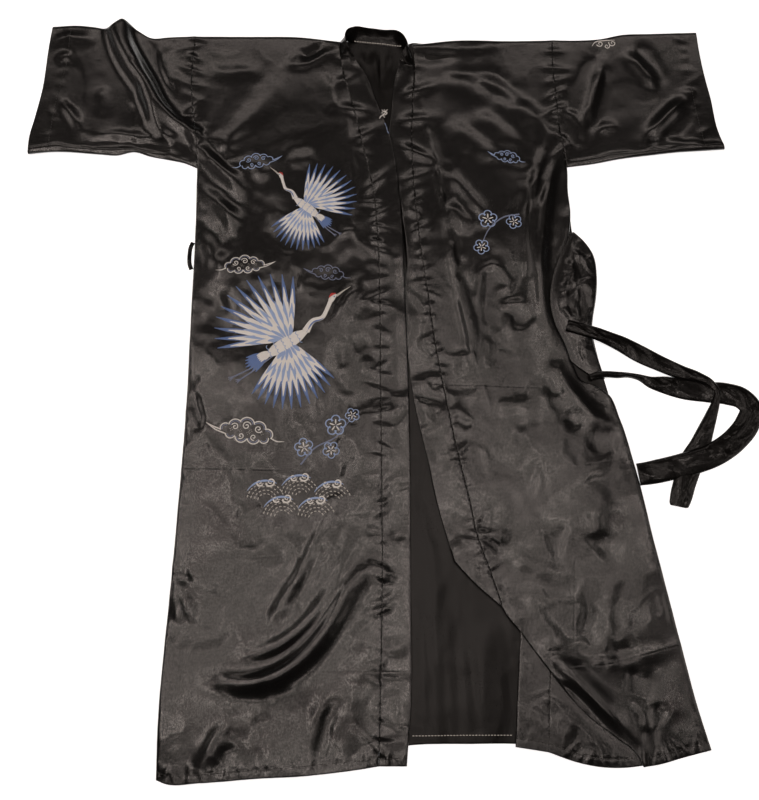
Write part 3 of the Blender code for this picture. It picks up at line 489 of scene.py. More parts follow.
# Seams that draw the cloth up: bumps every "spacing" along the route, standing "rise" and
# reaching "reach" to each side, over a groove where the thread pulls.
Seam = namedtuple("Seam", "spacing rise reach groove seed route")
SEAMS = [
    Seam(21, 2.5, 15, 0.6, 1, RIGHT_BAND_SEAM[:5]),
    Seam(40, 3.0, 22, 0.4, 11, RIGHT_BAND_SEAM[4:]),
    Seam(14, 1.7, 11, 0.6, 2, LEFT_BAND_SEAM[:10]),
    Seam(42, 3.0, 20, 0.4, 12, LEFT_BAND_SEAM[9:]),
    Seam(21, 1.8, 15, 0.3, 3, RIGHT_ARMHOLE),
    Seam(24, 1.5, 14, 0.3, 4, LEFT_ARMHOLE),
    Seam(15, 2.0, 14, 1.0, 5, CORNER_SEAM),
    Seam(24, 1.0, 9, 0.7, 6, RIGHT_CUFF_ROW),
    Seam(24, 0.9, 9, 0.7, 7, LEFT_CUFF_ROW),
    Seam(13, 1.8, 9, 1.8, 8, RIGHT_HEM_ROW),
    Seam(13, 1.7, 9, 1.8, 9, CORNER_HEM_ROW + LEFT_HEM_ROW),
    Seam(30, 0.7, 8, 0.5, 10, BACK_HEM_ROW),
]


# How uneven a seam's bumps are: the shares of its spacing, rise and reach that each may have,
# how far it leans along the seam, and how lopsided it is.
BUMP_RANGES = [(0.55, 1.5), (0.35, 1.3), (0.5, 1.5), (-0.6, 0.6), (-0.5, 0.5)]
BUMP_LENGTH = 0.27
GROOVE_DEPTH, GROOVE_WIDTH = 0.45, 1.8


def seam_height(seam, x, y):
    distance, share, left = from_route(x, y, seam.route, 60)
    length = Line(*seam.route).length
    run = share * length
    side = np.where(left, distance, -distance)
    height = -GROOVE_DEPTH * seam.groove * np.exp(-((distance / GROOVE_WIDTH) ** 2))
    random = np.random.default_rng(seam.seed)
    place = 0.0
    while place < length:
        apart, tall, wide, lean, lop = (random.uniform(*limits) for limits in BUMP_RANGES)
        place += seam.spacing * apart
        off = (run - place - lean * side) / (BUMP_LENGTH * seam.spacing)
        spread = np.where(left, 1 + lop, 1 - lop) * (seam.reach * wide)
        height = height + seam.rise * tall * np.exp(-(off**2) - (distance / spread) ** 2)
    return height


def seams_height(x, y):
    return heights_together(SEAMS, seam_height, lambda seam: 3 * seam.reach, x, y)


def back_top(x, y):
    return WALL + height_of(BACK_FOLDS, x, y)


def left_lift(x, y):
    """What the pleat's hidden layers and the pocket bag add under the left front."""
    pleat = from_route(x, y, PLEAT)[0]
    opening = from_route(x, y, SIDE_OPENING[1:-1])[0]
    return LAYER * ease(pleat, *PLEAT_LIFT) + LAYER * ease(opening, *OPENING_LIFT)


def fan(x, y, centre, seed):
    """Soft folds that spread from an armhole's foot."""
    off_x, off_y = np.abs(x - centre[0]), y - centre[1]
    reach = np.hypot(off_x, off_y)
    folds = soft_noise(FAN_WIDTH * np.arctan2(off_y, off_x), FAN_DRAW * reach, FAN_WAVE, seed)
    return FAN_RISE * folds * ease(reach, *FAN_FAR) * (1 - ease(reach, *FAN_NEAR))


def beside_tall_folds(x, y):
    """1 along the tallest folds, falling to 0 away from them."""
    distances = [from_route(x, y, fold.route)[0] for fold in FRONT_FOLDS if fold.rise >= TALL_FOLD]
    return ease(np.min(distances, axis=0), *TALL_FOLD_SIDES)


def lively(x, y):
    """Everything that only the cloth's surface has, over the solids' form."""
    wx, wy = wandered(x, y)
    calm = 1 - CHEST_CALM * ease(-y, *CHEST_FOOT)
    calm = calm * (1 - TALL_FOLD_CALM * beside_tall_folds(x, y))
    height = FINE_RISE * height_of(FINE_FOLDS, wx, wy, FINE_SOFTER) + seams_height(x, y)
    height = height + RIPPLE * calm * (ripple(x, y) + RIPPLE_BASE)
    for centre, seed in ((RIGHT_ARMHOLE[0], 91), (LEFT_ARMHOLE[0], 93)):
        height = height + fan(wx, wy, centre, seed)
    sunk = (SINK_FROM - height).clip(0)
    return np.maximum(height, SINK_FROM) - SINK_ROOM * np.tanh(sunk / SINK_ROOM)


def front_top(x, y):
    return back_top(x, y) + LAYER + height_of(FRONT_FOLDS, x, y)


def pleat_roll(x, y):
    return LAYER * ease(from_route(x, y, PLEAT)[0], *PLEAT_ROLL)


def left_front_top(x, y):
    return front_top(x, y) + left_lift(x, y) + pleat_roll(x, y)


def on_right_front(x, y):
    return front_top(x, y) + lively(x, y)


def on_left_front(x, y):
    return left_front_top(x, y) + lively(x, y)


def shares(length, step, edge=(1.2, 2.6, 4.6)):
    """Grid shares with even steps inside, and short ones next to both edges."""
    inner = np.linspace(edge[-1], length - edge[-1], max(3, round(length / step)))
    lead = np.concatenate([[0], edge[:-1]])
    return np.concatenate([lead, inner, length - lead[::-1]]) / length


def panel_places(left, right, start, end, across, along):
    """Plan of a panel between four edges: left and right run along it, start and end across."""
    left, right, start, end = (Line(*rows) for rows in (left, right, start, end))
    u, v = across[None, :, None], along[:, None, None]
    sides = (1 - u) * left.at(along)[:, None] + u * right.at(along)[:, None]
    ends = (1 - v) * start.at(across)[None] + v * end.at(across)[None]
    near = (1 - u) * left.at(0) + u * right.at(0)
    far = (1 - u) * left.at(1) + u * right.at(1)
    return sides + ends - (1 - v) * near - v * far


def raised(plan, height):
    return np.concatenate([plan, np.asarray(height)[..., None]], axis=-1)


def round_off(distance, reach, drop):
    """How far an edge's surface has dropped at a distance in from it."""
    t = np.clip(1 - distance / reach, 0, 1)
    return drop * (1 - np.sqrt(1 - t * t * 0.999))


def edge_drop(plan, left=PLAIN_EDGE, right=PLAIN_EDGE, start=PLAIN_EDGE, end=PLAIN_EDGE):
    """How far each place lies under its sheet's face, with the four edges rounded off."""
    rims = ((left, plan[:, :1]), (right, plan[:, -1:]), (start, plan[:1]), (end, plan[-1:]))
    drop = np.zeros(plan.shape[:2])
    for (reach, fall), rim in rims:
        drop = np.maximum(drop, round_off(np.linalg.norm(plan - rim, axis=2), reach, fall))
    return drop


def side_edge(y, reach, fall, held_up):
    """A front's side, rounded less far down beside the armhole, where the sleeve carries on."""
    return reach, fall - held_up * ease(-y, *ARMHOLE_FOOT)


def grid(bm, rows, columns):
    """A grid's new vertices, each with the row and the column that it stands in."""
    made = bmesh.ops.create_grid(bm, x_segments=columns - 1, y_segments=rows - 1, size=1)["verts"]
    return [(vert, round((vert.co.y + 1) / 2 * (rows - 1)), round((vert.co.x + 1) / 2 * (columns - 1)))
            for vert in made]


def cloth(name, lower, upper, tube=False):
    """A thin closed sheet: a grid moved to one face's places, then drawn out to the other's."""
    bm = bmesh.new()
    row, column = bm.verts.layers.int.new("row"), bm.verts.layers.int.new("column")
    for vert, in_row, in_column in grid(bm, *lower.shape[:2]):
        vert[row], vert[column] = in_row, in_column
        vert.co = lower[in_row, in_column] * METRES
    if tube:
        bmesh.ops.remove_doubles(bm, verts=bm.verts, dist=1e-7)
    drawn = bmesh.ops.extrude_face_region(bm, geom=bm.faces[:])["geom"]
    for vert in drawn:
        if isinstance(vert, bmesh.types.BMVert):
            vert.co = upper[vert[row], vert[column]] * METRES
    bmesh.ops.recalc_face_normals(bm, faces=bm.faces)
    if bm.calc_volume(signed=True) < 0:
        bmesh.ops.reverse_faces(bm, faces=bm.faces)
    return piece_from(name, bm)


def piece_from(name, bm):
    mesh = bpy.data.meshes.new(name)
    bm.to_mesh(mesh)
    bm.free()
    mesh.shade_smooth()
    piece = bpy.data.objects.new(name, mesh)
    bpy.context.scene.collection.objects.link(piece)
    return piece


def dress(piece, finish, nodes=()):
    """Gives a piece its finish and lets it ride, in place of the nodes if it has any."""
    piece.data.materials.append(finishes[finish])
    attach(piece, "root")
    if nodes:
        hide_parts(*nodes)


def satin_cloth(node, lower, upper, finish="satin", tube=False):
    """The cloth that shows in place of a node, laid flat and cut to the flat size."""
    piece = cloth(f"{node}_cloth", lower, upper, tube)
    dress(piece, finish, [node])


def shifted(rows, dx, dy=0.0):
    return [(x + dx, y + dy) for x, y in rows]


def walled(places, wall):
    """The same places moved out by a wall along the surface's own normals."""
    normal = np.cross(np.gradient(places, axis=1), np.gradient(places, axis=0))
    normal /= np.linalg.norm(normal, axis=2, keepdims=True)
    return places + np.broadcast_to(wall, normal.shape[:2])[..., None] * normal


def panel(node, plan, top, drop, finish="satin"):
    """A thin panel whose upper face is at top, less what its edges round off."""
    top = top - drop
    satin_cloth(node, raised(plan, top - CLOTH), raised(plan, top), finish)


def back_detail(x, y):
    detail = (ripple(x, y, BACK_RIPPLE) + seams_height(x, y)).clip(*BACK_ROOM)
    return BACK_LIVELY * detail + height_of(BACK_FINE_FOLDS, x, y)


def back():
    left = [BACK_HEM[0]] + shifted(RIGHT_SIDE[1:-1] + RIGHT_ARMHOLE[:-1], 1) + [BACK_NECK[0]]
    right = BACK_LEFT_SIDE + LEFT_ARMHOLE[1:-1] + [BACK_NECK[-1]]
    plan = panel_places(left, right, BACK_HEM, BACK_NECK, shares(700, 6), shares(1200, 8))
    x, y = plan[..., 0], plan[..., 1]
    hidden = ease(x, *BACK_FROM) + ease(-x, *BACK_TO)
    shown = np.clip(1 - hidden + ease(-y, *NECK_FROM), 0, 1)
    top = back_top(x, y) - COVERED_DIP * (1 - shown) + back_detail(x, y) * shown - edge_drop(plan)
    satin_cloth("back", raised(plan, np.zeros_like(top)), raised(plan, top),
                finish="wrong_side")


def right_front():
    left = RIGHT_SIDE[:-1] + RIGHT_ARMHOLE
    right = shifted(RIGHT_BAND_SEAM, -SEAM) + [(-72, 652)]
    hem = RIGHT_HEM[:-1] + [right[0]]
    plan = panel_places(left, right, hem, RIGHT_SHOULDER, shares(320, 3.1), shares(1215, 3.2))
    x, y = plan[..., 0], plan[..., 1]
    side = side_edge(y, 5, 2.0, 1.8)
    drop = edge_drop(plan, left=side, right=SEAM_EDGE, start=HEM_EDGE, end=SHOULDER_EDGE)
    panel("right_front", plan, on_right_front(x, y), drop)


def left_front():
    left = PLEAT[:PLEAT_HEM_ROWS] + shifted(LEFT_BAND_SEAM, SEAM) + [(57, 645)]
    right = LEFT_SIDE_LOW[:-1] + SIDE_OPENING[:-1] + LEFT_SIDE_HIGH[:-1] + LEFT_ARMHOLE
    plan = panel_places(left, right, LEFT_HEM, LEFT_SHOULDER, shares(270, 3.0), shares(1260, 3.2))
    x, y = plan[..., 0], plan[..., 1]
    side = side_edge(y, 6, 2.8, 2.6)
    drop = edge_drop(plan, left=HEM_EDGE, right=side, start=HEM_EDGE, end=SHOULDER_EDGE)
    panel("left_front", plan, on_left_front(x, y), drop)


def corner_top(x, y):
    """Height of the left front's corner and its band's end, pressed flat under the pleat."""
    detail = CORNER_LIVELY * lively(x, y).clip(*CORNER_ROOM)
    return back_top(x, y) + LAYER + detail * under_pleat(x, y)


def left_front_corner():
    left = shifted(CORNER_SEAM, SEAM)
    right = [CORNER_HEM[-1], (384, -533), CORNER_HIDDEN[-1]]
    hem = [left[0]] + CORNER_HEM[1:]
    hidden = [left[-1]] + CORNER_HIDDEN[1:]
    plan = panel_places(left, right, hem, hidden, shares(140, 3), shares(150, 3))
    top = corner_top(plan[..., 0], plan[..., 1])
    panel("left_front_corner", plan, top, edge_drop(plan, left=SEAM_EDGE))


def under_pleat(x, y):
    """0 where the pleat presses the cloth flat, rising to 1 clear of it."""
    distance, _, past = from_route(x, y, PLEAT)
    return np.where(past, 1 - ease(distance, *PLEAT_PRESS), 0)


def right_band():
    seam, edge = shifted(RIGHT_BAND_SEAM, SEAM), RIGHT_BAND_EDGE
    hem, neck = [seam[0], (19, -540), edge[0]], [seam[-1], (-56, 617), edge[-1]]
    across = shares(44, 2.6)
    plan = panel_places(seam, edge, hem, neck, across, shares(1180, 3))
    x, y = plan[..., 0], plan[..., 1]
    over_left = LAYER * (1 - ease(y, OVERLAP_CLIMB[1], OVERLAP_CLIMB[0]))
    standing = RIGHT_STAND * ease(edge[-1][1] - y, 0, RIGHT_STAND_REACH) ** 2
    top = front_top(x, y) + over_left * np.minimum(1, across / OVERLAP_PART) + standing * across
    drop = edge_drop(plan, left=SEAM_EDGE, right=BAND_EDGE, start=HEM_EDGE, end=NECK_EDGE)
    panel("right_front_band", plan, top + lively(x, y), drop,
          finish="band_satin")


def left_band():
    seam, edge = shifted(LEFT_BAND_SEAM, -SEAM), LEFT_BAND_EDGE
    end, neck = [edge[0], (142, -285), seam[0]], [edge[-1], (48, 602), seam[-1]]
    across = shares(46, 2.6)
    plan = panel_places(edge, seam, end, neck, across, shares(900, 3))
    x, y = plan[..., 0], plan[..., 1]
    standing = LEFT_STAND * ease(edge[-1][1] - y, 0, LEFT_STAND_REACH) ** 2
    from_edge = np.linalg.norm(plan - plan[:, :1], axis=2)
    covered = ease(from_edge, *BAND_COVERED) * (1 - ease(y, *BAND_COVERED_BELOW))
    detail = lively(x, y)
    top = left_front_top(x, y) + standing * (1 - across)
    top = top + detail * (1 - covered) + covered * np.minimum(0, detail)
    drop = edge_drop(plan, left=BAND_EDGE, right=SEAM_EDGE, start=PLEAT_END_EDGE, end=NECK_EDGE)
    panel("left_front_band", plan, top, drop, finish="band_satin")


def left_band_end():
    seam = shifted(CORNER_SEAM, -SEAM)
    hem, hidden = BAND_END_HEM[:-1] + [seam[0]], [BAND_END_EDGE[-1], (233, -352), seam[-1]]
    plan = panel_places(BAND_END_EDGE, seam, hem, hidden, shares(46, 2.6), shares(170, 3))
    top = corner_top(plan[..., 0], plan[..., 1])
    drop = edge_drop(plan, left=BAND_EDGE, right=SEAM_EDGE, start=HEM_EDGE)
    panel("left_front_band_end", plan, top, drop, finish="band_satin")


def collar():
    """The band round the neck, which stands up, bows out a little and wanders along its free edge."""
    rows = np.array(COLLAR, float)
    along = np.linspace(0, 1, COLLAR_STEPS)
    seam, edge = Line(*rows[:, :3]).at(along), Line(*rows[:, 3:]).at(along)
    across = shares(COLLAR_WIDTH, 3, (0.5, 1.2, 2.2))[None, :, None]
    inner = seam[:, None] * (1 - across) + edge[:, None] * across
    across = across[..., 0]
    run = np.linspace(0, COLLAR_LENGTH, COLLAR_STEPS)[:, None] + 0 * across
    bow = COLLAR_BOW * np.sin(math.pi * across)
    wave = 0.5 * soft_noise(run, across * COLLAR_WIDTH, 16, 51) + 0.3 * soft_noise(run, run * 0, 7, 52)
    inner = walled(inner, COLLAR_EASE + (bow + wave * across).clip(0))
    satin_cloth("collar", inner, walled(inner, COLLAR_WALL),
                finish="belt_satin")


def sleeve_top(x, y, along):
    mouth = SLEEVE_EASE + CUFF_MOUTH * along**3
    return 2 * WALL + mouth + height_of(FRONT_FOLDS, x, y) + (lively(x, y) + SLEEVE_ROOM).clip(0)


def sleeve(node, low_edge, top_edge, armhole, cuff):
    """A tube pressed flat: its ring goes up over the front layer and back under it."""
    low_edge, top_edge = [armhole[0]] + low_edge[1:], [armhole[-1]] + top_edge[1:]
    across, along = shares(SLEEVE_DEPTH, 4, (0.8, 2.0, 4.0)), shares(SLEEVE_LENGTH, 3.8)
    plan = panel_places(low_edge, top_edge, armhole, cuff, across, along)
    along = along[:, None]
    step = SLEEVE_STEP * ease(along * SLEEVE_LENGTH, 0, SLEEVE_STEP_REACH)
    high = sleeve_top(plan[..., 0], plan[..., 1], along) - step
    rim = np.minimum(np.linalg.norm(plan - plan[:, :1], axis=2),
                     np.linalg.norm(plan - plan[:, -1:], axis=2))
    belly = 1 - round_off(rim, SLEEVE_BELLY, 1)
    full = high * (1 + belly) / 2

    def ring(places, front, under):
        over, back_layer = raised(places, front), raised(places, under)[:, -2::-1]
        return np.concatenate([over, back_layer], axis=1)

    outer = ring(plan, full, high * (1 - belly) / 2)
    pull = np.clip(1 - rim / SLEEVE_PULL, 0, 1)[..., None]
    centre = plan[:, len(across) // 2][:, None]
    inward = (centre - plan) / np.linalg.norm(centre - plan + 1e-6, axis=2, keepdims=True)
    slim = np.minimum(CLOTH, high * belly / 2 - SLEEVE_HOLLOW).clip(SLEEVE_THINNEST)
    inner = ring(plan + pull * inward, full - slim, high * (1 - belly) / 2 + slim)
    satin_cloth(node, inner, outer, tube=True)


def sleeves():
    sleeve("right_sleeve", RIGHT_SLEEVE_LOW, RIGHT_SLEEVE_TOP, shifted(RIGHT_ARMHOLE, -SEAM), RIGHT_CUFF)
    sleeve("left_sleeve", LEFT_SLEEVE_LOW, LEFT_SLEEVE_TOP, shifted(LEFT_ARMHOLE, SEAM), LEFT_CUFF)


def pocket():
    """The crumpled bag that comes out of the side opening."""
    start, end = [POCKET_INNER[0], POCKET_OUTER[0]], [POCKET_INNER[-1], POCKET_OUTER[-1]]
    across, along = shares(80, 2), shares(260, 2.4)
    plan = panel_places(POCKET_INNER, POCKET_OUTER, start, end, across, along)
    x, y = plan[..., 0], plan[..., 1]
    distance, _, inside = from_route(x, y, SIDE_OPENING[1:-1])
    shown = np.where(inside, 0, 1 - ease(distance, POCKET_PUFF[1], POCKET_PUFF[0]))
    crown = np.sqrt(np.sin(math.pi * along)[:, None] * np.sin(math.pi * across)[None]).clip(0)
    wx, wy = wandered(x, y, 6)
    creased = ridge(wx * 1.8, wy * 0.6, 30, 61, 2.2) ** 1.5 + 0.35 * ridge(wx, wy, 18, 62)
    top = LAYER + WALL + (POCKET_RISE * crown + POCKET_CREASE * creased * crown) * shown
    top = top - edge_drop(plan, right=POCKET_SIDE_EDGE, start=POCKET_END_EDGE, end=POCKET_END_EDGE)
    under = np.minimum(LAYER + 0.2, top - 0.4)
    satin_cloth("pocket_bag", raised(plan, under), raised(plan, top))


def ribbon(rows, steps, columns):
    """Plan of a strip along a route, its underside's height, its width and the run along it."""
    route = Line(*rows)
    line = route.at(np.linspace(0, 1, steps + 1))
    run = np.gradient(line[:, :2], axis=0)
    side = np.stack([-run[:, 1], run[:, 0]], axis=1)
    side /= np.linalg.norm(side, axis=1, keepdims=True)
    across = np.linspace(-0.5, 0.5, columns)
    plan = line[:, None, :2] + across[None, :, None] * line[:, None, 3:4] * side[:, None]
    return plan, line[:, 2:3], line[:, 3:4], across, np.linspace(0, route.length, steps + 1)[:, None]


def rounded(across, power):
    """A strip's cross-section: 1 along its middle, curving down to 0 at both edges."""
    return np.sqrt(np.clip(1 - (2 * np.abs(across)) ** power, 0, 1))


def belt_stretch(node, rows, seed):
    """A doubled strip of satin: rounded edges, creases along it, and thick where it twists."""
    plan, low, width, across, run = ribbon(rows, round(Line(*rows).length / BELT_STEP), BELT_COLUMNS)
    squeeze = np.clip(1 - width / BELT_WIDTH, 0, 1)
    wave = soft_noise(run + 40 * across, across * width, 13, seed)
    crease = ridge(run * 0.5, across * width * 1.2, 22, seed + 1, 1.8)
    turn = np.sin(run / 17 + 5 * across + seed) * squeeze
    high = BELT_THICK + 1.2 * squeeze + 0.8 * wave + 1.8 * crease + 0.9 * turn
    top = low + BELT_EASE + high.clip(BELT_THINNEST) * rounded(across, 2.2)
    satin_cloth(node, raised(plan, np.minimum(low, top - 0.15)), raised(plan, top),
                finish="belt_satin")


def belt():
    belt_stretch("belt_free_end", BELT_TAIL, 71)
    belt_stretch("belt_turned_end", BELT_LOOP, 81)


def belt_carrier():
    rows = [(x, y, GAP, CARRIER_WIDTH) for x, y in CARRIER]
    plan, low, _, across, run = ribbon(rows, CARRIER_STEPS, CARRIER_COLUMNS)
    top = low + BELT_EASE + (1.2 + 0.2 * np.sin(run / 4)) * rounded(across, 4)
    satin_cloth("belt_carrier", raised(plan, low - 0.1 + 0 * top), raised(plan, top),
                finish="belt_satin")


# Embroidery and sewing. Threads are gathered as strips, then one piece is made of each colour.
# A strip narrower than the full width is domed less, and a share of its dome is sunk in.
Strip = namedtuple("Strip", "route width rise lift")
STRIP_COLUMNS, STRIP_LIFT = 5, 0.2
STRIP_FULL_WIDTH, STRIP_SUNK = 3, 0.25
threads = {}


def stitch(thread, route, width, rise=0.7, lift=0.0):
    """Adds a raised row of thread: its width is a number, or a list from its start to its end."""
    route = np.asarray(route, float)
    width = np.interp(np.linspace(0, 1, len(route)), np.linspace(0, 1, np.size(width)),
                      np.atleast_1d(width))
    threads.setdefault(thread, []).append(Strip(route, width, rise, lift))


def strip_plan(strip):
    run = np.gradient(strip.route, axis=0)
    run /= np.linalg.norm(run, axis=1, keepdims=True) + 1e-9
    side = np.stack([-run[:, 1], run[:, 0]], axis=1)
    across = np.linspace(-0.5, 0.5, STRIP_COLUMNS)
    return strip.route[:, None] + across[None, :, None] * (strip.width[:, None] * side)[:, None]


def thread_piece(name, thread, surface):
    """One piece of all a thread's strips, each a grid moved onto the cloth and domed."""
    strips = threads.pop(thread)
    plans = [strip_plan(strip) for strip in strips]
    every = np.concatenate([plan.reshape(-1, 2) for plan in plans])
    heights = surface(every[:, 0], every[:, 1])
    bm = bmesh.new()
    strands = bm.loops.layers.uv.new("strands")
    across = np.linspace(-1, 1, STRIP_COLUMNS)
    dome = np.sqrt(1 - 0.97 * across**2)
    done = 0
    for strip, plan in zip(strips, plans):
        size = len(plan), STRIP_COLUMNS
        ground = heights[done:done + math.prod(size)].reshape(size)
        done += math.prod(size)
        slim = np.minimum(1, strip.width / STRIP_FULL_WIDTH)[:, None]
        top = ground + STRIP_LIFT + strip.lift + strip.rise * slim * (dome[None] - STRIP_SUNK)
        places = raised(plan, top) * METRES
        run = np.concatenate([[0], np.cumsum(np.linalg.norm(np.diff(strip.route, axis=0), axis=1))])
        spot = {}
        for vert, row, column in grid(bm, *size):
            vert.co = places[row, column]
            spot[vert] = (run[row] + 7 * len(spot) / 1000, across[column] * strip.width[row] / 2)
        for face in {face for vert in spot for face in vert.link_faces}:
            for loop in face.loops:
                loop[strands].uv = spot[loop.vert]
    for face in bm.faces:
        face.normal_update()
        if face.normal.z < 0:
            face.normal_flip()
    dress(piece_from(name, bm), thread)


def spread(route, step=2.4):
    """A smooth route through rows of points, as evenly spaced places."""
    line = Line(*route)
    return line.at(np.linspace(0, 1, max(4, round(line.length / step))))


def direction(angle):
    return np.array([math.cos(math.radians(angle)), math.sin(math.radians(angle))])


def arc(x, y, radius, start, end, step=2.4):
    turn = np.radians(end - start)
    angle = np.radians(start) + np.linspace(0, turn, max(5, round(abs(turn) * radius / step)))
    return np.stack([x + radius * np.cos(angle), y + radius * np.sin(angle)], axis=1)


def curl(x, y, radius, start, turns, step=2.0):
    """A spiral that winds in from its radius."""
    t = np.linspace(0, 1, max(8, round(abs(turns) * 4.4 * radius / step)))
    angle = np.radians(start) + 2 * math.pi * turns * t
    reach = radius * (1 - 0.86 * t)
    return np.stack([x + reach * np.cos(angle), y + reach * np.sin(angle)], axis=1)


def running(thread, route, dash=3.8, gap=2.5, width=1.5):
    """Separate stitches along a route."""
    line = Line(*route)
    for number in range(int(line.length / (dash + gap))):
        start = number * (dash + gap)
        stitch(thread, line.at(np.linspace(start, start + dash, 4) / line.length),
               [0.5 * width, width, width, 0.5 * width], 0.6)


class Motif:
    """Draws in its own millimetres, then places, turns, scales or mirrors what it drew."""

    def __init__(self, place, size=1.0, turn=0.0, mirrored=False):
        angle = math.radians(turn)
        flip = -1 if mirrored else 1
        cos, sin = math.cos(angle), math.sin(angle)
        self.matrix = size * np.array([[flip * cos, flip * sin], [-sin, cos]])
        self.place, self.size = np.array(place, float), size

    def put(self, route):
        return np.asarray(route, float) @ self.matrix + self.place

    def stitch(self, thread, route, width, rise=0.7, lift=0.0):
        width = max(self.size, 0.6) * np.atleast_1d(width)
        stitch(thread, self.put(route), width, rise, lift)

    def running(self, thread, route):
        running(thread, self.put(route))


# A feather's widths from its root to its tip.
FEATHER = [1.5, 7, 9.5, 9, 6, 0.8]


def feather(motif, thread, root, angle, length, bend, width, lift):
    """A feather from its root, whose end bends to one side."""
    way, side = direction(angle), direction(angle + 90)
    root = np.array(root, float)
    route = spread([root, root + way * length / 2 + side * bend / 3, root + way * length + side * bend],
                   3.0)
    motif.stitch(thread, route, width * np.array(FEATHER) / max(FEATHER), 0.8, lift)


# A wing's rows of feathers, as (thread, share of the wing's length, count, width, lift).
WING = [("blue_thread", 1.0, 12, 9.5, 0.0), ("white_thread", 0.84, 12, 9.0, 0.2),
        ("light_blue_thread", 0.58, 10, 9.0, 0.45), ("white_thread", 0.40, 8, 9.5, 0.7),
        ("light_blue_thread", 0.22, 6, 8.0, 0.9)]


def wing(motif, root, first, last, length, side):
    """Rows of feathers that overlap like tiles, the longest undermost."""
    for thread, reach, count, width, lift in WING:
        for number in range(count):
            share = number / (count - 1)
            angle = first + (last - first) * share
            long = length * reach * (0.72 + 0.34 * math.sin(math.pi * (0.2 + 0.62 * share)))
            foot = (root[0] - 16 * share, root[1] + side * 3 * share)
            feather(motif, thread, foot, angle, long, side * 5 * reach, width, lift)


CRANE_BODY = [(44, 4), (20, 2), (-8, -1), (-40, -5)]
CRANE_NECK = [(38, 4), (56, 14), (72, 12), (84, 20), (97, 31)]

# A crane's head, crown, eye and beak, as rows of (thread, route, step, widths, rise, lift).
CRANE_HEAD = [("white_thread", [(93, 28), (102, 34), (110, 36)], 2.4, [4, 9.5, 8.5, 3], 1.3, 0.8),
              ("red_thread", [(97, 37), (104, 39.5), (110, 38)], 1.6, [1, 4.4, 1], 0.7, 1.8),
              ("blue_thread", [(104, 33.5), (106.5, 34.5)], 0.8, [1.6, 2.2, 1.6], 0.4, 2.0),
              ("silver_thread", [(109, 34), (122, 36), (136, 37)], 2.4, [4, 2.6, 0.6], 0.8, 0.8)]


def crane(place, size, turn, mirrored=False):
    """A crane in flight, with spread wings and trailing legs."""
    motif = Motif(place, size, turn, mirrored)
    for leg, foot in enumerate([(-98, -12), (-90, -21)]):
        knee = (-60, -12 - 5 * leg)
        motif.stitch("grey_blue_thread", spread([(-26, -6 - 3 * leg), knee, foot]), 2.2)
        for way in (-24, 0, 24):
            toe = arc(*foot, 8, 180 + way, 180 + way + 1)[0]
            motif.stitch("grey_blue_thread", spread([foot, toe], 2), [2, 0.8])
    for number in range(7):
        feather(motif, "blue_thread", (-32, -3), 158 + 8 * number, 42 - 2 * abs(number - 3), 3, 8, 0.1)
    for number in range(5):
        feather(motif, "white_thread", (-26, -2), 164 + 8 * number, 26, 2, 8, 0.3)
    wing(motif, (12, 8), 58, 158, 112, 1)
    wing(motif, (8, -6), -64, -148, 96, -1)
    motif.stitch("white_thread", spread(CRANE_BODY), [4, 19, 24, 20, 4], 1.6, 0.9)
    for x in range(26, -27, -13):
        for y in (7, 0, -7):
            motif.stitch("light_blue_thread", arc(x, y, 4.2, 110, 250, 1.8), 1.1, 0.5, 2.0)
    neck = spread(CRANE_NECK)
    motif.stitch("white_thread", neck, [13, 9, 7, 6.5, 7], 1.2, 0.7)
    motif.stitch("blue_thread", neck[: len(neck) * 3 // 5] + (0, -2.6), [0.6, 2.4, 2.4, 0.6], 0.5, 1.9)
    for thread, route, step, widths, rise, lift in CRANE_HEAD:
        motif.stitch(thread, spread(route, step), widths, rise, lift)


# A cloud's scallops, as rows of (x, y, radius, from angle, to angle).
CLOUD_TOP = [(-44, 1, 11, 205, 60), (-26, 10, 14, 180, 38), (-2, 13, 15, 168, 22), (20, 8, 13, 140, 0),
             (38, 0, 10, 110, -30)]
CLOUD_BASE = [(-40, -8, 9, 160, 320), (-20, -10, 12, 190, 345), (4, -11, 12, 195, 350),
              (26, -8, 10, 200, 340)]
CLOUD_CURLS = [(-26, 9, 8, 200, 1.3), (-2, 11, 9, 160, -1.4), (20, 6, 7.5, 20, 1.3),
               (-20, -9, 6.5, 250, 1.2), (5, -10, 6.5, 300, -1.2)]
CLOUD_TAILS = [([(46, -4), (60, -1), (78, 5)], [2.2, 2.6, 0.5]),
               ([(34, -11), (56, -6), (78, 5)], [2.2, 2, 0.5]),
               ([(-52, -4), (-64, -8), (-80, -6)], [2.2, 2.4, 0.5])]
CLOUD_DOTS = [(-34, 1), (-12, 2), (8, 0), (26, 0), (-30, -14), (-8, -3), (14, -18)]


def cloud(place, size, turn, mirrored, outer, inner, seeds=True):
    """A scalloped cloud with curls, pointed at both ends and dotted inside."""
    motif = Motif(place, size, turn, mirrored)
    for x, y, radius, start, end in CLOUD_TOP + CLOUD_BASE:
        motif.stitch(outer, arc(x, y, radius, start, end), 2.2, 0.8)
        if seeds:
            motif.stitch(inner, arc(x, y, radius - 3.2, start, end), 1.5, 0.6)
    for x, y, radius, start, turns in CLOUD_CURLS:
        motif.stitch(outer, curl(x, y, radius, start, turns), 1.9, 0.8, 0.3)
    for route, widths in CLOUD_TAILS:
        motif.stitch(outer, spread(route), widths)
    if seeds:
        for x, y in CLOUD_DOTS:
            for way in (0, 90, 180, 270):
                dot = arc(x, y, 2.6, way, way + 40, 1)
                motif.stitch("silver_thread", dot[:3], 1.6, 0.6)


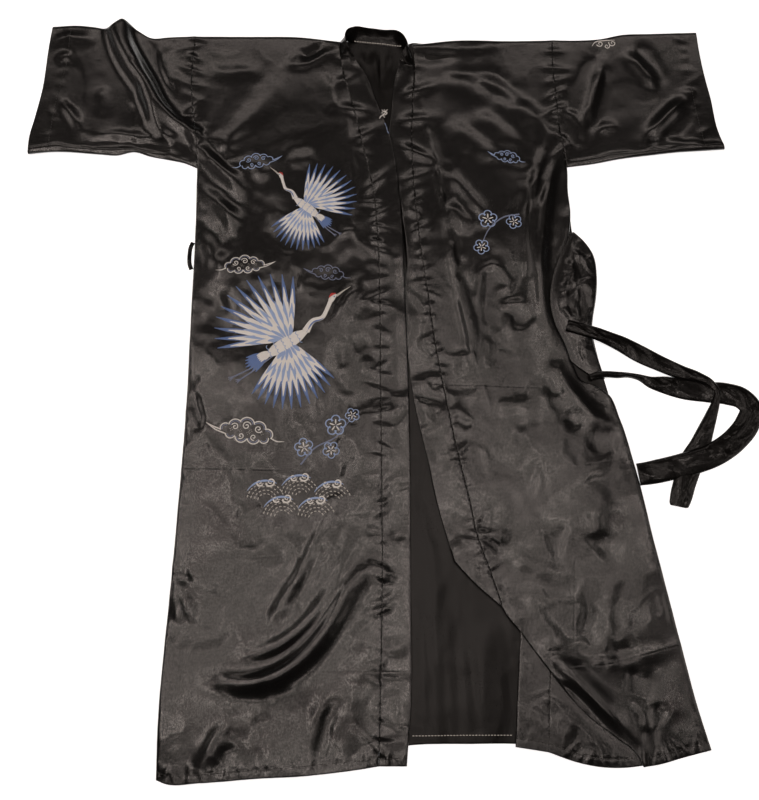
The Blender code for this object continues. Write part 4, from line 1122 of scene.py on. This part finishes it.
def waves(place, size):
    """Hills of running stitches under curls of foam."""
    motif = Motif(place, size)
    for x, y, count in [(-62, -4, 4), (0, 6, 5), (60, -6, 4), (-31, -34, 4), (31, -36, 4)]:
        for number in range(count):
            motif.running("silver_thread", arc(x, y, 34 - 6.6 * number, 168, 12, 4))
        motif.stitch("white_thread", curl(x + 8, y + 36, 9, 200, 1.4), [3.4, 3, 2, 1.2], 0.9)
        motif.stitch("white_thread", curl(x - 12, y + 34, 6.5, 330, -1.3), [3, 2.6, 1.8, 1], 0.9)
        motif.stitch("light_blue_thread", arc(x, y, 38.5, 150, 60), [0.8, 3.6, 4, 0.8], 0.7)


def blossom(place, size, turn):
    """A flower of five outlined petals round a star of short stitches."""
    motif = Motif(place, size, turn)
    for number in range(5):
        angle = 90 + 72 * number
        way = direction(angle)
        motif.stitch("light_blue_thread", arc(*(9.5 * way), 6.6, angle - 122, angle + 122), 1.9, 0.8)
        motif.stitch("white_thread", spread([1.6 * way, 5 * way, 9.5 * way], 1.6), [1.0, 2.2, 1.4], 0.8)


def sprig(branch, flowers):
    """A thin branch with blossoms along it, as rows of (share of the branch, off it, size, turn)."""
    stitch("grey_blue_thread", spread(branch), [2.6, 2.2, 0.7], 0.7)
    line = Line(*branch)
    for share, off, size, turn in flowers:
        place, ahead = line.at([share, min(share + 0.05, 1)])
        run = (ahead - place) / max(np.linalg.norm(ahead - place), 1e-6)
        foot = place + off * np.array([-run[1], run[0]])
        stitch("grey_blue_thread", spread([place, (place + foot) / 2, foot], 1.6), [1.6, 1.2], 0.6)
        blossom(foot, size, turn)


# Each colour of the embroidery, with its slot in the record; the pieces are finished with their own
# colour's thread, not by slot.
EMBROIDERY = [("white", "white_thread"), ("light_blue", "blue_thread"), ("blue", "blue_thread"),
              ("grey_blue", "grey_thread"), ("silver", "grey_thread"), ("red", "red_thread")]


def embroidery_pieces(place, surface):
    """One piece of each colour that has been stitched so far."""
    for colour, slot in EMBROIDERY:
        thread = f"{colour}_thread"
        if thread in threads:
            thread_piece(f"{colour}_{place}embroidery", thread, surface)


def right_front_embroidery():
    """Cranes among clouds, over a sprig of blossom and the waves."""
    crane((-150, 92), 1.0, 28)
    crane((-120, 330), 0.7, -34, True)
    cloud((-218, 226), 0.62, 6, False, "white_thread", "grey_blue_thread")
    cloud((-86, 214), 0.5, -8, True, "grey_blue_thread", "white_thread", False)
    cloud((-210, -52), 0.8, -10, True, "white_thread", "grey_blue_thread")
    cloud((-206, 416), 0.55, 12, False, "light_blue_thread", "grey_blue_thread", False)
    sprig([(-122, -104), (-100, -78), (-70, -62), (-40, -26)],
          [(0.2, 13, 0.9, 10), (0.48, -14, 0.8, 40), (0.74, 13, 1.0, 0), (0.99, 2, 0.7, 25)])
    waves((-122, -158), 0.84)
    embroidery_pieces("", on_right_front)


def left_front_embroidery():
    """A small cloud high on the chest, and a sprig of blossom below it, towards the band."""
    cloud((214, 424), 0.42, -12, True, "light_blue_thread", "white_thread", False)
    sprig([(232, 318), (206, 312), (182, 292), (166, 258)],
          [(0.12, 12, 0.8, 20), (0.5, -13, 0.95, 0), (0.98, 1, 0.8, 30)])
    embroidery_pieces("chest_", on_left_front)


def on_right_band(x, y):
    return on_right_front(x, y) + LAYER


def on_back(x, y):
    return back_top(x, y) + back_detail(x, y)


def on_sleeve(x, y):
    return sleeve_top(x, y, np.clip((np.abs(x) - SLEEVE_START) / SLEEVE_LENGTH, 0, 1))


def on_collar(x, y):
    """Height of the collar's inner face behind the neck, where it leans back."""
    seam_x, *columns = BEHIND_NECK[:, (0, 1, 2, 4, 5)].T
    seam_y, seam_z, edge_y, edge_z = (np.interp(x, seam_x, column) for column in columns)
    return seam_z + (y - seam_y) / (edge_y - seam_y) * (edge_z - seam_z) + 0.9


def seam_stitches():
    """Black stitches: small beads along the band seams, close rows at the hems and cuffs."""
    rows = [("right_front_stitches", on_right_front, RIGHT_BAND_SEAM, 3.6, 8.0, 1.5),
            ("left_front_stitches", on_left_front, LEFT_BAND_SEAM, 3.6, 7.0, 1.5),
            ("right_armhole_stitches", on_right_front, shifted(RIGHT_ARMHOLE, 1.5), 3.4, 9.0, 1.3),
            ("left_armhole_stitches", on_left_front, shifted(LEFT_ARMHOLE, -1.5), 3.4, 9.0, 1.3),
            ("corner_stitches", corner_top, CORNER_SEAM, 3.4, 7.0, 1.4),
            ("right_cuff_stitches", on_sleeve, RIGHT_CUFF_ROW, 3.0, 2.0, 1.1),
            ("left_cuff_stitches", on_sleeve, LEFT_CUFF_ROW, 3.0, 2.0, 1.1),
            ("right_hem_stitches", on_right_front, RIGHT_HEM_ROW, 3.2, 1.8, 1.5),
            ("left_hem_stitches", on_left_front, LEFT_HEM_ROW, 3.2, 1.8, 1.5),
            ("corner_hem_stitches", corner_top, CORNER_HEM_ROW, 3.2, 1.8, 1.5)]
    for name, surface, route, dash, gap, width in rows:
        running("black_thread", route, dash, gap, width)
        thread_piece(name, "black_thread", surface)


# The knotted tie of thread between the bands, and the loose stitches on the edge below it.
BAND_TIE = [[(3, 507), (8, 510), (13, 507), (8, 503), (4, 506)],
            [(8, 514), (10, 508), (6, 503), (9, 498)],
            [(14, 514), (9, 509), (4, 513)], [(7, 504), (2, 500), (0, 496)]]
LOOSE_STITCHES = [[(9, 488), (11, 482)], [(12, 481), (13, 474)], [(13, 473), (16, 468)]]


def pale_stitches():
    """Pale stitches: the back's hem, the collar's seam, and the tie between the bands."""
    running("silver_thread", BACK_HEM_ROW, 3.2, 1.3, 1.2)
    thread_piece("back_hem_stitches", "silver_thread", on_back)
    x = np.linspace(-44, 40, 18)
    seam = np.interp(x, BEHIND_NECK[:, 0], BEHIND_NECK[:, 1]) + 1.8
    running("silver_thread", np.stack([x, seam], axis=1), 3.4, 1.0, 1.3)
    thread_piece("collar_seam_stitches", "silver_thread", on_collar)
    for route in BAND_TIE:
        stitch("white_thread", spread(route, 1.2), [0.8, 1.5, 1.5, 0.8], 0.9, 0.8)
    thread_piece("band_tie", "white_thread", on_right_band)
    for route in LOOSE_STITCHES:
        stitch("light_blue_thread", spread(route, 1.5), 0.9, 0.6, 0.3)
    thread_piece("band_edge_stitches", "light_blue_thread", on_right_band)


def left_sleeve_embroidery():
    """The end of a motif that comes over the shoulder line from the back."""
    for x, y, radius, start, turns in [(386, 645, 6, 200, 1.2), (398, 640, 5, 20, -1.2),
                                       (408, 646, 6.5, 160, 1.3)]:
        stitch("white_thread", curl(x, y, radius, start, turns, 1.4), [1.6, 1.4, 0.8], 0.7)
    stitch("white_thread", spread([(372, 640), (378, 648), (392, 651), (412, 652)]), [0.8, 1.8, 1.8, 0.8])
    thread_piece("left_sleeve_embroidery", "white_thread", on_sleeve)


class Value:
    """A shader socket that sums and scales like a number."""

    def __init__(self, finish, socket):
        self.finish, self.socket = finish, socket

    def maths(self, operation, *others):
        return self.finish.node("ShaderNodeMath", {"operation": operation}, dict(enumerate(others)))

    def __add__(self, other):
        return self.maths("ADD", self, other)

    def __radd__(self, other):
        return self.maths("ADD", other, self)

    def __sub__(self, other):
        return self.maths("SUBTRACT", self, other)

    def __rsub__(self, other):
        return self.maths("SUBTRACT", other, self)

    def __mul__(self, other):
        return self.maths("MULTIPLY", self, other)

    def __rmul__(self, other):
        return self.maths("MULTIPLY", other, self)

    def __truediv__(self, other):
        return self.maths("DIVIDE", self, other)

    def __pow__(self, other):
        return self.maths("POWER", self, other)

    def clamped(self):
        return self.maths("MAXIMUM", self.maths("MINIMUM", self, 1.0), 0.0)


class Finish:
    """A material around one Principled shader, with a method that adds any other node."""

    def __init__(self, name, colour, roughness, **fixed):
        self.material = bpy.data.materials.new(name)
        self.material.use_nodes = True
        self.tree = self.material.node_tree
        self.shader = self.tree.nodes["Principled BSDF"]
        self.shader.inputs["Base Color"].default_value = (*colour, 1)
        self.shader.inputs["Roughness"].default_value = roughness
        for socket, value in fixed.items():
            self.shader.inputs[socket.replace("_", " ")].default_value = value
        self.material.diffuse_color = (*colour, 1)
        finishes[name] = self.material

    def node(self, kind, settings, inputs, output=0):
        made = self.tree.nodes.new(kind)
        for name, value in settings.items():
            setattr(made, name, value)
        for name, value in inputs.items():
            if isinstance(value, Value):
                self.tree.links.new(value.socket, made.inputs[name])
            else:
                made.inputs[name].default_value = value
        return Value(self, made.outputs[output])

    def place(self):
        return self.node("ShaderNodeTexCoord", {}, {}, "Object")

    def east_and_north(self, place):
        east = self.node("ShaderNodeSeparateXYZ", {}, {"Vector": place})
        return east, Value(self, east.socket.node.outputs["Y"])

    def stretched(self, place, scale, turn=0.0):
        return self.node("ShaderNodeMapping", {}, {"Vector": place, "Scale": scale,
                                                   "Rotation": (0, 0, turn)})

    def noise(self, place, scale, detail=2.0, roughness=0.5, distortion=0.0):
        return self.node("ShaderNodeTexNoise", {}, {
            "Vector": place, "Scale": scale, "Detail": detail, "Roughness": roughness,
            "Distortion": distortion})

    def mixed(self, share, first, second):
        """One colour turning into the other. Its colour sockets go by number: 6 and 7 in, 2 out."""
        return self.node("ShaderNodeMix", {"data_type": "RGBA"},
                         {"Factor": share, 6: (*first, 1), 7: (*second, 1)}, 2)

    def give(self, socket, value):
        self.tree.links.new(value.socket, self.shader.inputs[socket])

    def raise_by(self, height, distance, under=None):
        inputs = {"Height": height, "Distance": distance, "Strength": 1.0}
        if under is not None:
            inputs["Normal"] = under
        return self.node("ShaderNodeBump", {}, inputs)


# Pressed creases from when the robe was folded, as rows of (start, end, depth in mm).
CREASES = {
    "satin": [((-303, -110), (-154, -112), 0.3), ((-206, -61), (-208, -108), 0.25),
              ((-232, -249), (-138, -243), 0.2), ((-218, -150), (-213, -242), 0.25),
              ((-183, -164), (-149, -240), 0.25), ((-100, -412), (-2, -411), 0.2),
              ((110, 25), (254, 20), 0.25), ((318, -104), (403, -93), 0.2),
              ((277, -405), (334, -401), 0.3), ((334, -401), (443, -373), 0.3),
              ((294, -249), (285, -376), 0.25)],
    "band_satin": [((2, -411), (44, -411), 0.3), ((52, 28), (110, 25), 0.25)],
}
CREASE_REACH, CREASE_STRENGTH = 2.2, 1.5


def crease_height(east, north, creases):
    """The pressed creases as a height in metres, each a thin valley along its line."""
    total = 0.0
    for (ax, ay), (bx, by), depth in creases:
        run_x, run_y = (bx - ax) * METRES, (by - ay) * METRES
        size = run_x**2 + run_y**2
        off_x, off_y = east - ax * METRES, north - ay * METRES
        along = ((off_x * run_x + off_y * run_y) / size).clamped()
        side_x, side_y = off_x - along * run_x, off_y - along * run_y
        distance = (side_x * side_x + side_y * side_y) ** 0.5
        valley = (1 - distance / (CREASE_REACH * METRES)).clamped()
        total = total + valley * (-depth * METRES)
    return total


# How often satin's patches, wrinkles and grain repeat in a metre. The small wrinkles stand only
# a share of the others' rise, and the rises are in millimetres.
PATCHES, MIDDLE_WRINKLES, SMALL_WRINKLES, GRAIN = 9, 17, 46, 560
SMALL_SHARE, WRINKLE_RISE, GRAIN_RISE = 0.11, 1.6, 0.15
SLANTED = (1.0, 0.6, 1.0)


def satin_finish(name, colour, lighter, roughness, creases=(), wrinkle=1.0, **fixed):
    """Satin: a broad sheen under a sharper one, a fine grain, soft wrinkles and pressed creases."""
    finish = Finish(name, colour, roughness, **fixed)
    place = finish.place()
    patches = finish.noise(place, PATCHES, 3)
    grain = finish.noise(finish.stretched(place, SLANTED, 0.6), GRAIN, 2, 0.7)
    finish.give("Base Color", finish.mixed((patches * 0.4 + grain * 0.6).clamped(), colour, lighter))
    finish.give("Roughness", patches * 0.08 + grain * 0.10 + (roughness - 0.09))
    finish.give("Coat Weight", (grain * 5.0 + patches * 0.6 - 2.3).clamped())
    weave = finish.raise_by(grain, GRAIN_RISE * METRES)
    small = finish.noise(place, SMALL_WRINKLES, 1, 0.4, 0.8)
    middle = finish.noise(finish.stretched(place, SLANTED, 0.35), MIDDLE_WRINKLES, 1, 0.4, 1.1)
    wrinkles = finish.raise_by(small * SMALL_SHARE + middle, WRINKLE_RISE * METRES * wrinkle, weave)
    if creases:
        pressed = crease_height(*finish.east_and_north(place), creases)
        wrinkles = finish.raise_by(pressed, CREASE_STRENGTH, wrinkles)
    finish.give("Normal", wrinkles)


def thread_finish(name, colour, lighter):
    """Embroidery thread: fine strands that lie across each row of stitches."""
    finish = Finish(name, colour, 0.42)
    along = finish.node("ShaderNodeUVMap", {"uv_map": "strands"}, {})
    strands = finish.noise(finish.stretched(along, (1.0, 0.12, 1.0)), 1.7, 2, 0.6)
    finish.give("Base Color", finish.mixed(strands.clamped(), colour, lighter))
    finish.give("Roughness", strands * 0.2 + 0.34)
    finish.give("Normal", finish.raise_by(strands, 0.35 * METRES))


finishes = {}

# Each thread's colours, its darker strands first.
THREADS = {
    "white_thread": ((0.74, 0.73, 0.70), (0.88, 0.87, 0.84)),
    "light_blue_thread": ((0.26, 0.37, 0.62), (0.38, 0.49, 0.74)),
    "blue_thread": ((0.08, 0.15, 0.36), (0.14, 0.23, 0.48)),
    "grey_blue_thread": ((0.13, 0.16, 0.26), (0.24, 0.28, 0.40)),
    "silver_thread": ((0.42, 0.41, 0.38), (0.62, 0.60, 0.56)),
    "red_thread": ((0.42, 0.02, 0.02), (0.62, 0.05, 0.04)),
    "black_thread": ((0.006, 0.0055, 0.005), (0.02, 0.018, 0.016)),
}


def make_finishes():
    dark, less_dark = (0.0018, 0.0015, 0.0013), (0.0052, 0.0045, 0.0040)
    for name in ("satin", "band_satin"):
        satin_finish(name, dark, less_dark, 0.24, CREASES[name], Coat_Roughness=0.18)
    satin_finish("belt_satin", dark, less_dark, 0.24, (), 0.8, Coat_Roughness=0.14, Coat_IOR=1.35,
                 Specular_IOR_Level=0.12)
    satin_finish("wrong_side", (0.0024, 0.0021, 0.0018), (0.0066, 0.0057, 0.005), 0.3, (), 2.0,
                 Specular_IOR_Level=0.2, Coat_IOR=1.12, Coat_Roughness=0.24)
    for name, (colour, lighter) in THREADS.items():
        thread_finish(name, colour, lighter)
    floor = Finish("pale_floor", (0.86, 0.86, 0.85), 0.9, Emission_Color=(1, 1, 1, 1),
                   Emission_Strength=0.75)
    floor.give("Roughness", floor.noise(floor.place(), 30, 2) * 0.1 + 0.85)


# The camera looks down at the robe's middle from a little towards the hem, in metres and pixels.
CAMERA_REACH = 1.45
CAMERA_TILT = math.radians(15)
FOCAL_PIXELS = 920
IMAGE_HEIGHT = 800
SENSOR = 36.0


def camera():
    data = bpy.data.cameras.new("camera")
    data.lens = FOCAL_PIXELS * SENSOR / IMAGE_HEIGHT
    data.sensor_width = SENSOR
    data.clip_end = 50
    eye = bpy.data.objects.new("camera", data)
    eye.location = (0, -CAMERA_REACH * math.sin(CAMERA_TILT), CAMERA_REACH * math.cos(CAMERA_TILT))
    eye.rotation_euler = (CAMERA_TILT, 0, 0)
    bpy.context.scene.collection.objects.link(eye)
    bpy.context.scene.camera = eye


WARM = (1, 0.87, 0.80)


def area_light(name, place, turn, size, power):
    data = bpy.data.lights.new(name, "AREA")
    data.shape = "RECTANGLE"
    data.size, data.size_y = size
    data.energy = power
    data.color = WARM
    lamp = bpy.data.objects.new(name, data)
    lamp.location = place
    lamp.rotation_euler = turn
    bpy.context.scene.collection.objects.link(lamp)


# The ceiling's broad panels and its thin bright bars, as rows of (x, y, width, depth, turn in
# degrees, brightness), in metres.
CEILING = [(-0.46, 0.66, 0.78, 0.72, 4, 0.67), (0.62, 0.62, 0.86, 0.74, -3, 0.6),
           (-0.5, -0.26, 0.72, 0.7, -5, 0.85), (0.62, -0.24, 0.9, 0.6, 5, 0.72),
           (-0.36, -0.98, 1.0, 0.36, 2, 0.4), (0.42, -0.92, 0.3, 0.4, 0, 0.55),
           (0.05, 0.2, 0.4, 0.5, 0, 0.45), (-1.1, 0.1, 0.12, 2.0, 0, 6.0), (1.8, 0.2, 0.14, 1.6, 0, 2.2),
           (-0.2, -1.38, 1.5, 0.12, 0, 4.5), (-0.62, 0.2, 0.1, 0.55, 50, 8.5),
           (0.1, -0.42, 0.1, 0.5, -24, 7.5), (0.14, 0.66, 0.09, 0.6, 14, 6.5),
           (-0.1, -0.1, 0.09, 0.4, 78, 6.5), (1.06, 0.16, 0.1, 0.5, 38, 7.0),
           (0.5, 0.22, 0.1, 0.5, -62, 7.0), (-0.86, -0.64, 0.1, 0.5, -40, 7.0),
           (-0.32, -0.66, 0.09, 0.5, 66, 5.0), (0.9, -0.62, 0.09, 0.4, -20, 5.0),
           (-0.86, 0.86, 0.06, 0.5, -30, 7.0), (0.95, 0.95, 0.06, 0.5, 60, 7.0),
           (0.0, 2.5, 3.4, 0.56, 0, 1.4)]
CEILING_HEIGHT, CEILING_POWER = 2.2, 4
SIDE_LIGHT_SIZE = (2.0, 1.6)
WORLD_STRENGTH = 0.02

# The floor, just under the robe, and a pale wall round it that only the camera sees, in metres.
FLOOR_REACH, FLOOR_DROP = 4, 0.0004
BACKDROP_REACH, BACKDROP_HEIGHT = 3.9, 4.0


def lights():
    for number, (x, y, width, depth, turn, brightness) in enumerate(CEILING):
        area_light(f"ceiling_light_{number + 1}", (x, y, CEILING_HEIGHT), (0, 0, math.radians(turn)),
                   (width, depth), CEILING_POWER * width * depth * brightness)
    for name, place, aim, power in [("left_light", (-2.9, 0.9, 1.7), (-0.2, 0.1, 0), 15),
                                    ("right_light", (2.9, -0.5, 1.7), (0.2, -0.1, 0), 11)]:
        turn = (Vector(aim) - Vector(place)).to_track_quat("-Z", "Y").to_euler()
        area_light(name, place, turn, SIDE_LIGHT_SIZE, power)
    world = bpy.context.scene.world or bpy.data.worlds.new("world")
    bpy.context.scene.world = world
    world.use_nodes = True
    world.node_tree.nodes["Background"].inputs["Color"].default_value = (1, 1, 1, 1)
    world.node_tree.nodes["Background"].inputs["Strength"].default_value = WORLD_STRENGTH
    bpy.context.scene.view_settings.view_transform = "Standard"


def stage():
    bm = bmesh.new()
    bmesh.ops.create_grid(bm, x_segments=1, y_segments=1, size=FLOOR_REACH)
    bmesh.ops.translate(bm, verts=bm.verts, vec=(0, 0, -FLOOR_DROP))
    floor = piece_from("floor", bm)
    bm = bmesh.new()
    bmesh.ops.create_cone(bm, cap_ends=False, segments=64, radius1=BACKDROP_REACH, radius2=BACKDROP_REACH,
                          depth=BACKDROP_HEIGHT)
    bmesh.ops.translate(bm, verts=bm.verts, vec=(0, 0, BACKDROP_HEIGHT / 2))
    backdrop = piece_from("backdrop", bm)
    backdrop.visible_diffuse = False
    backdrop.visible_glossy = False
    backdrop.visible_shadow = False
    for piece in (floor, backdrop):
        piece.data.materials.append(finishes["pale_floor"])


make_finishes()
camera()
lights()
stage()
back()
right_front()
left_front()
left_front_corner()
right_band()
left_band()
left_band_end()
collar()
sleeves()
pocket()
belt()
belt_carrier()
right_front_embroidery()
left_front_embroidery()
left_sleeve_embroidery()
seam_stitches()
pale_stitches()
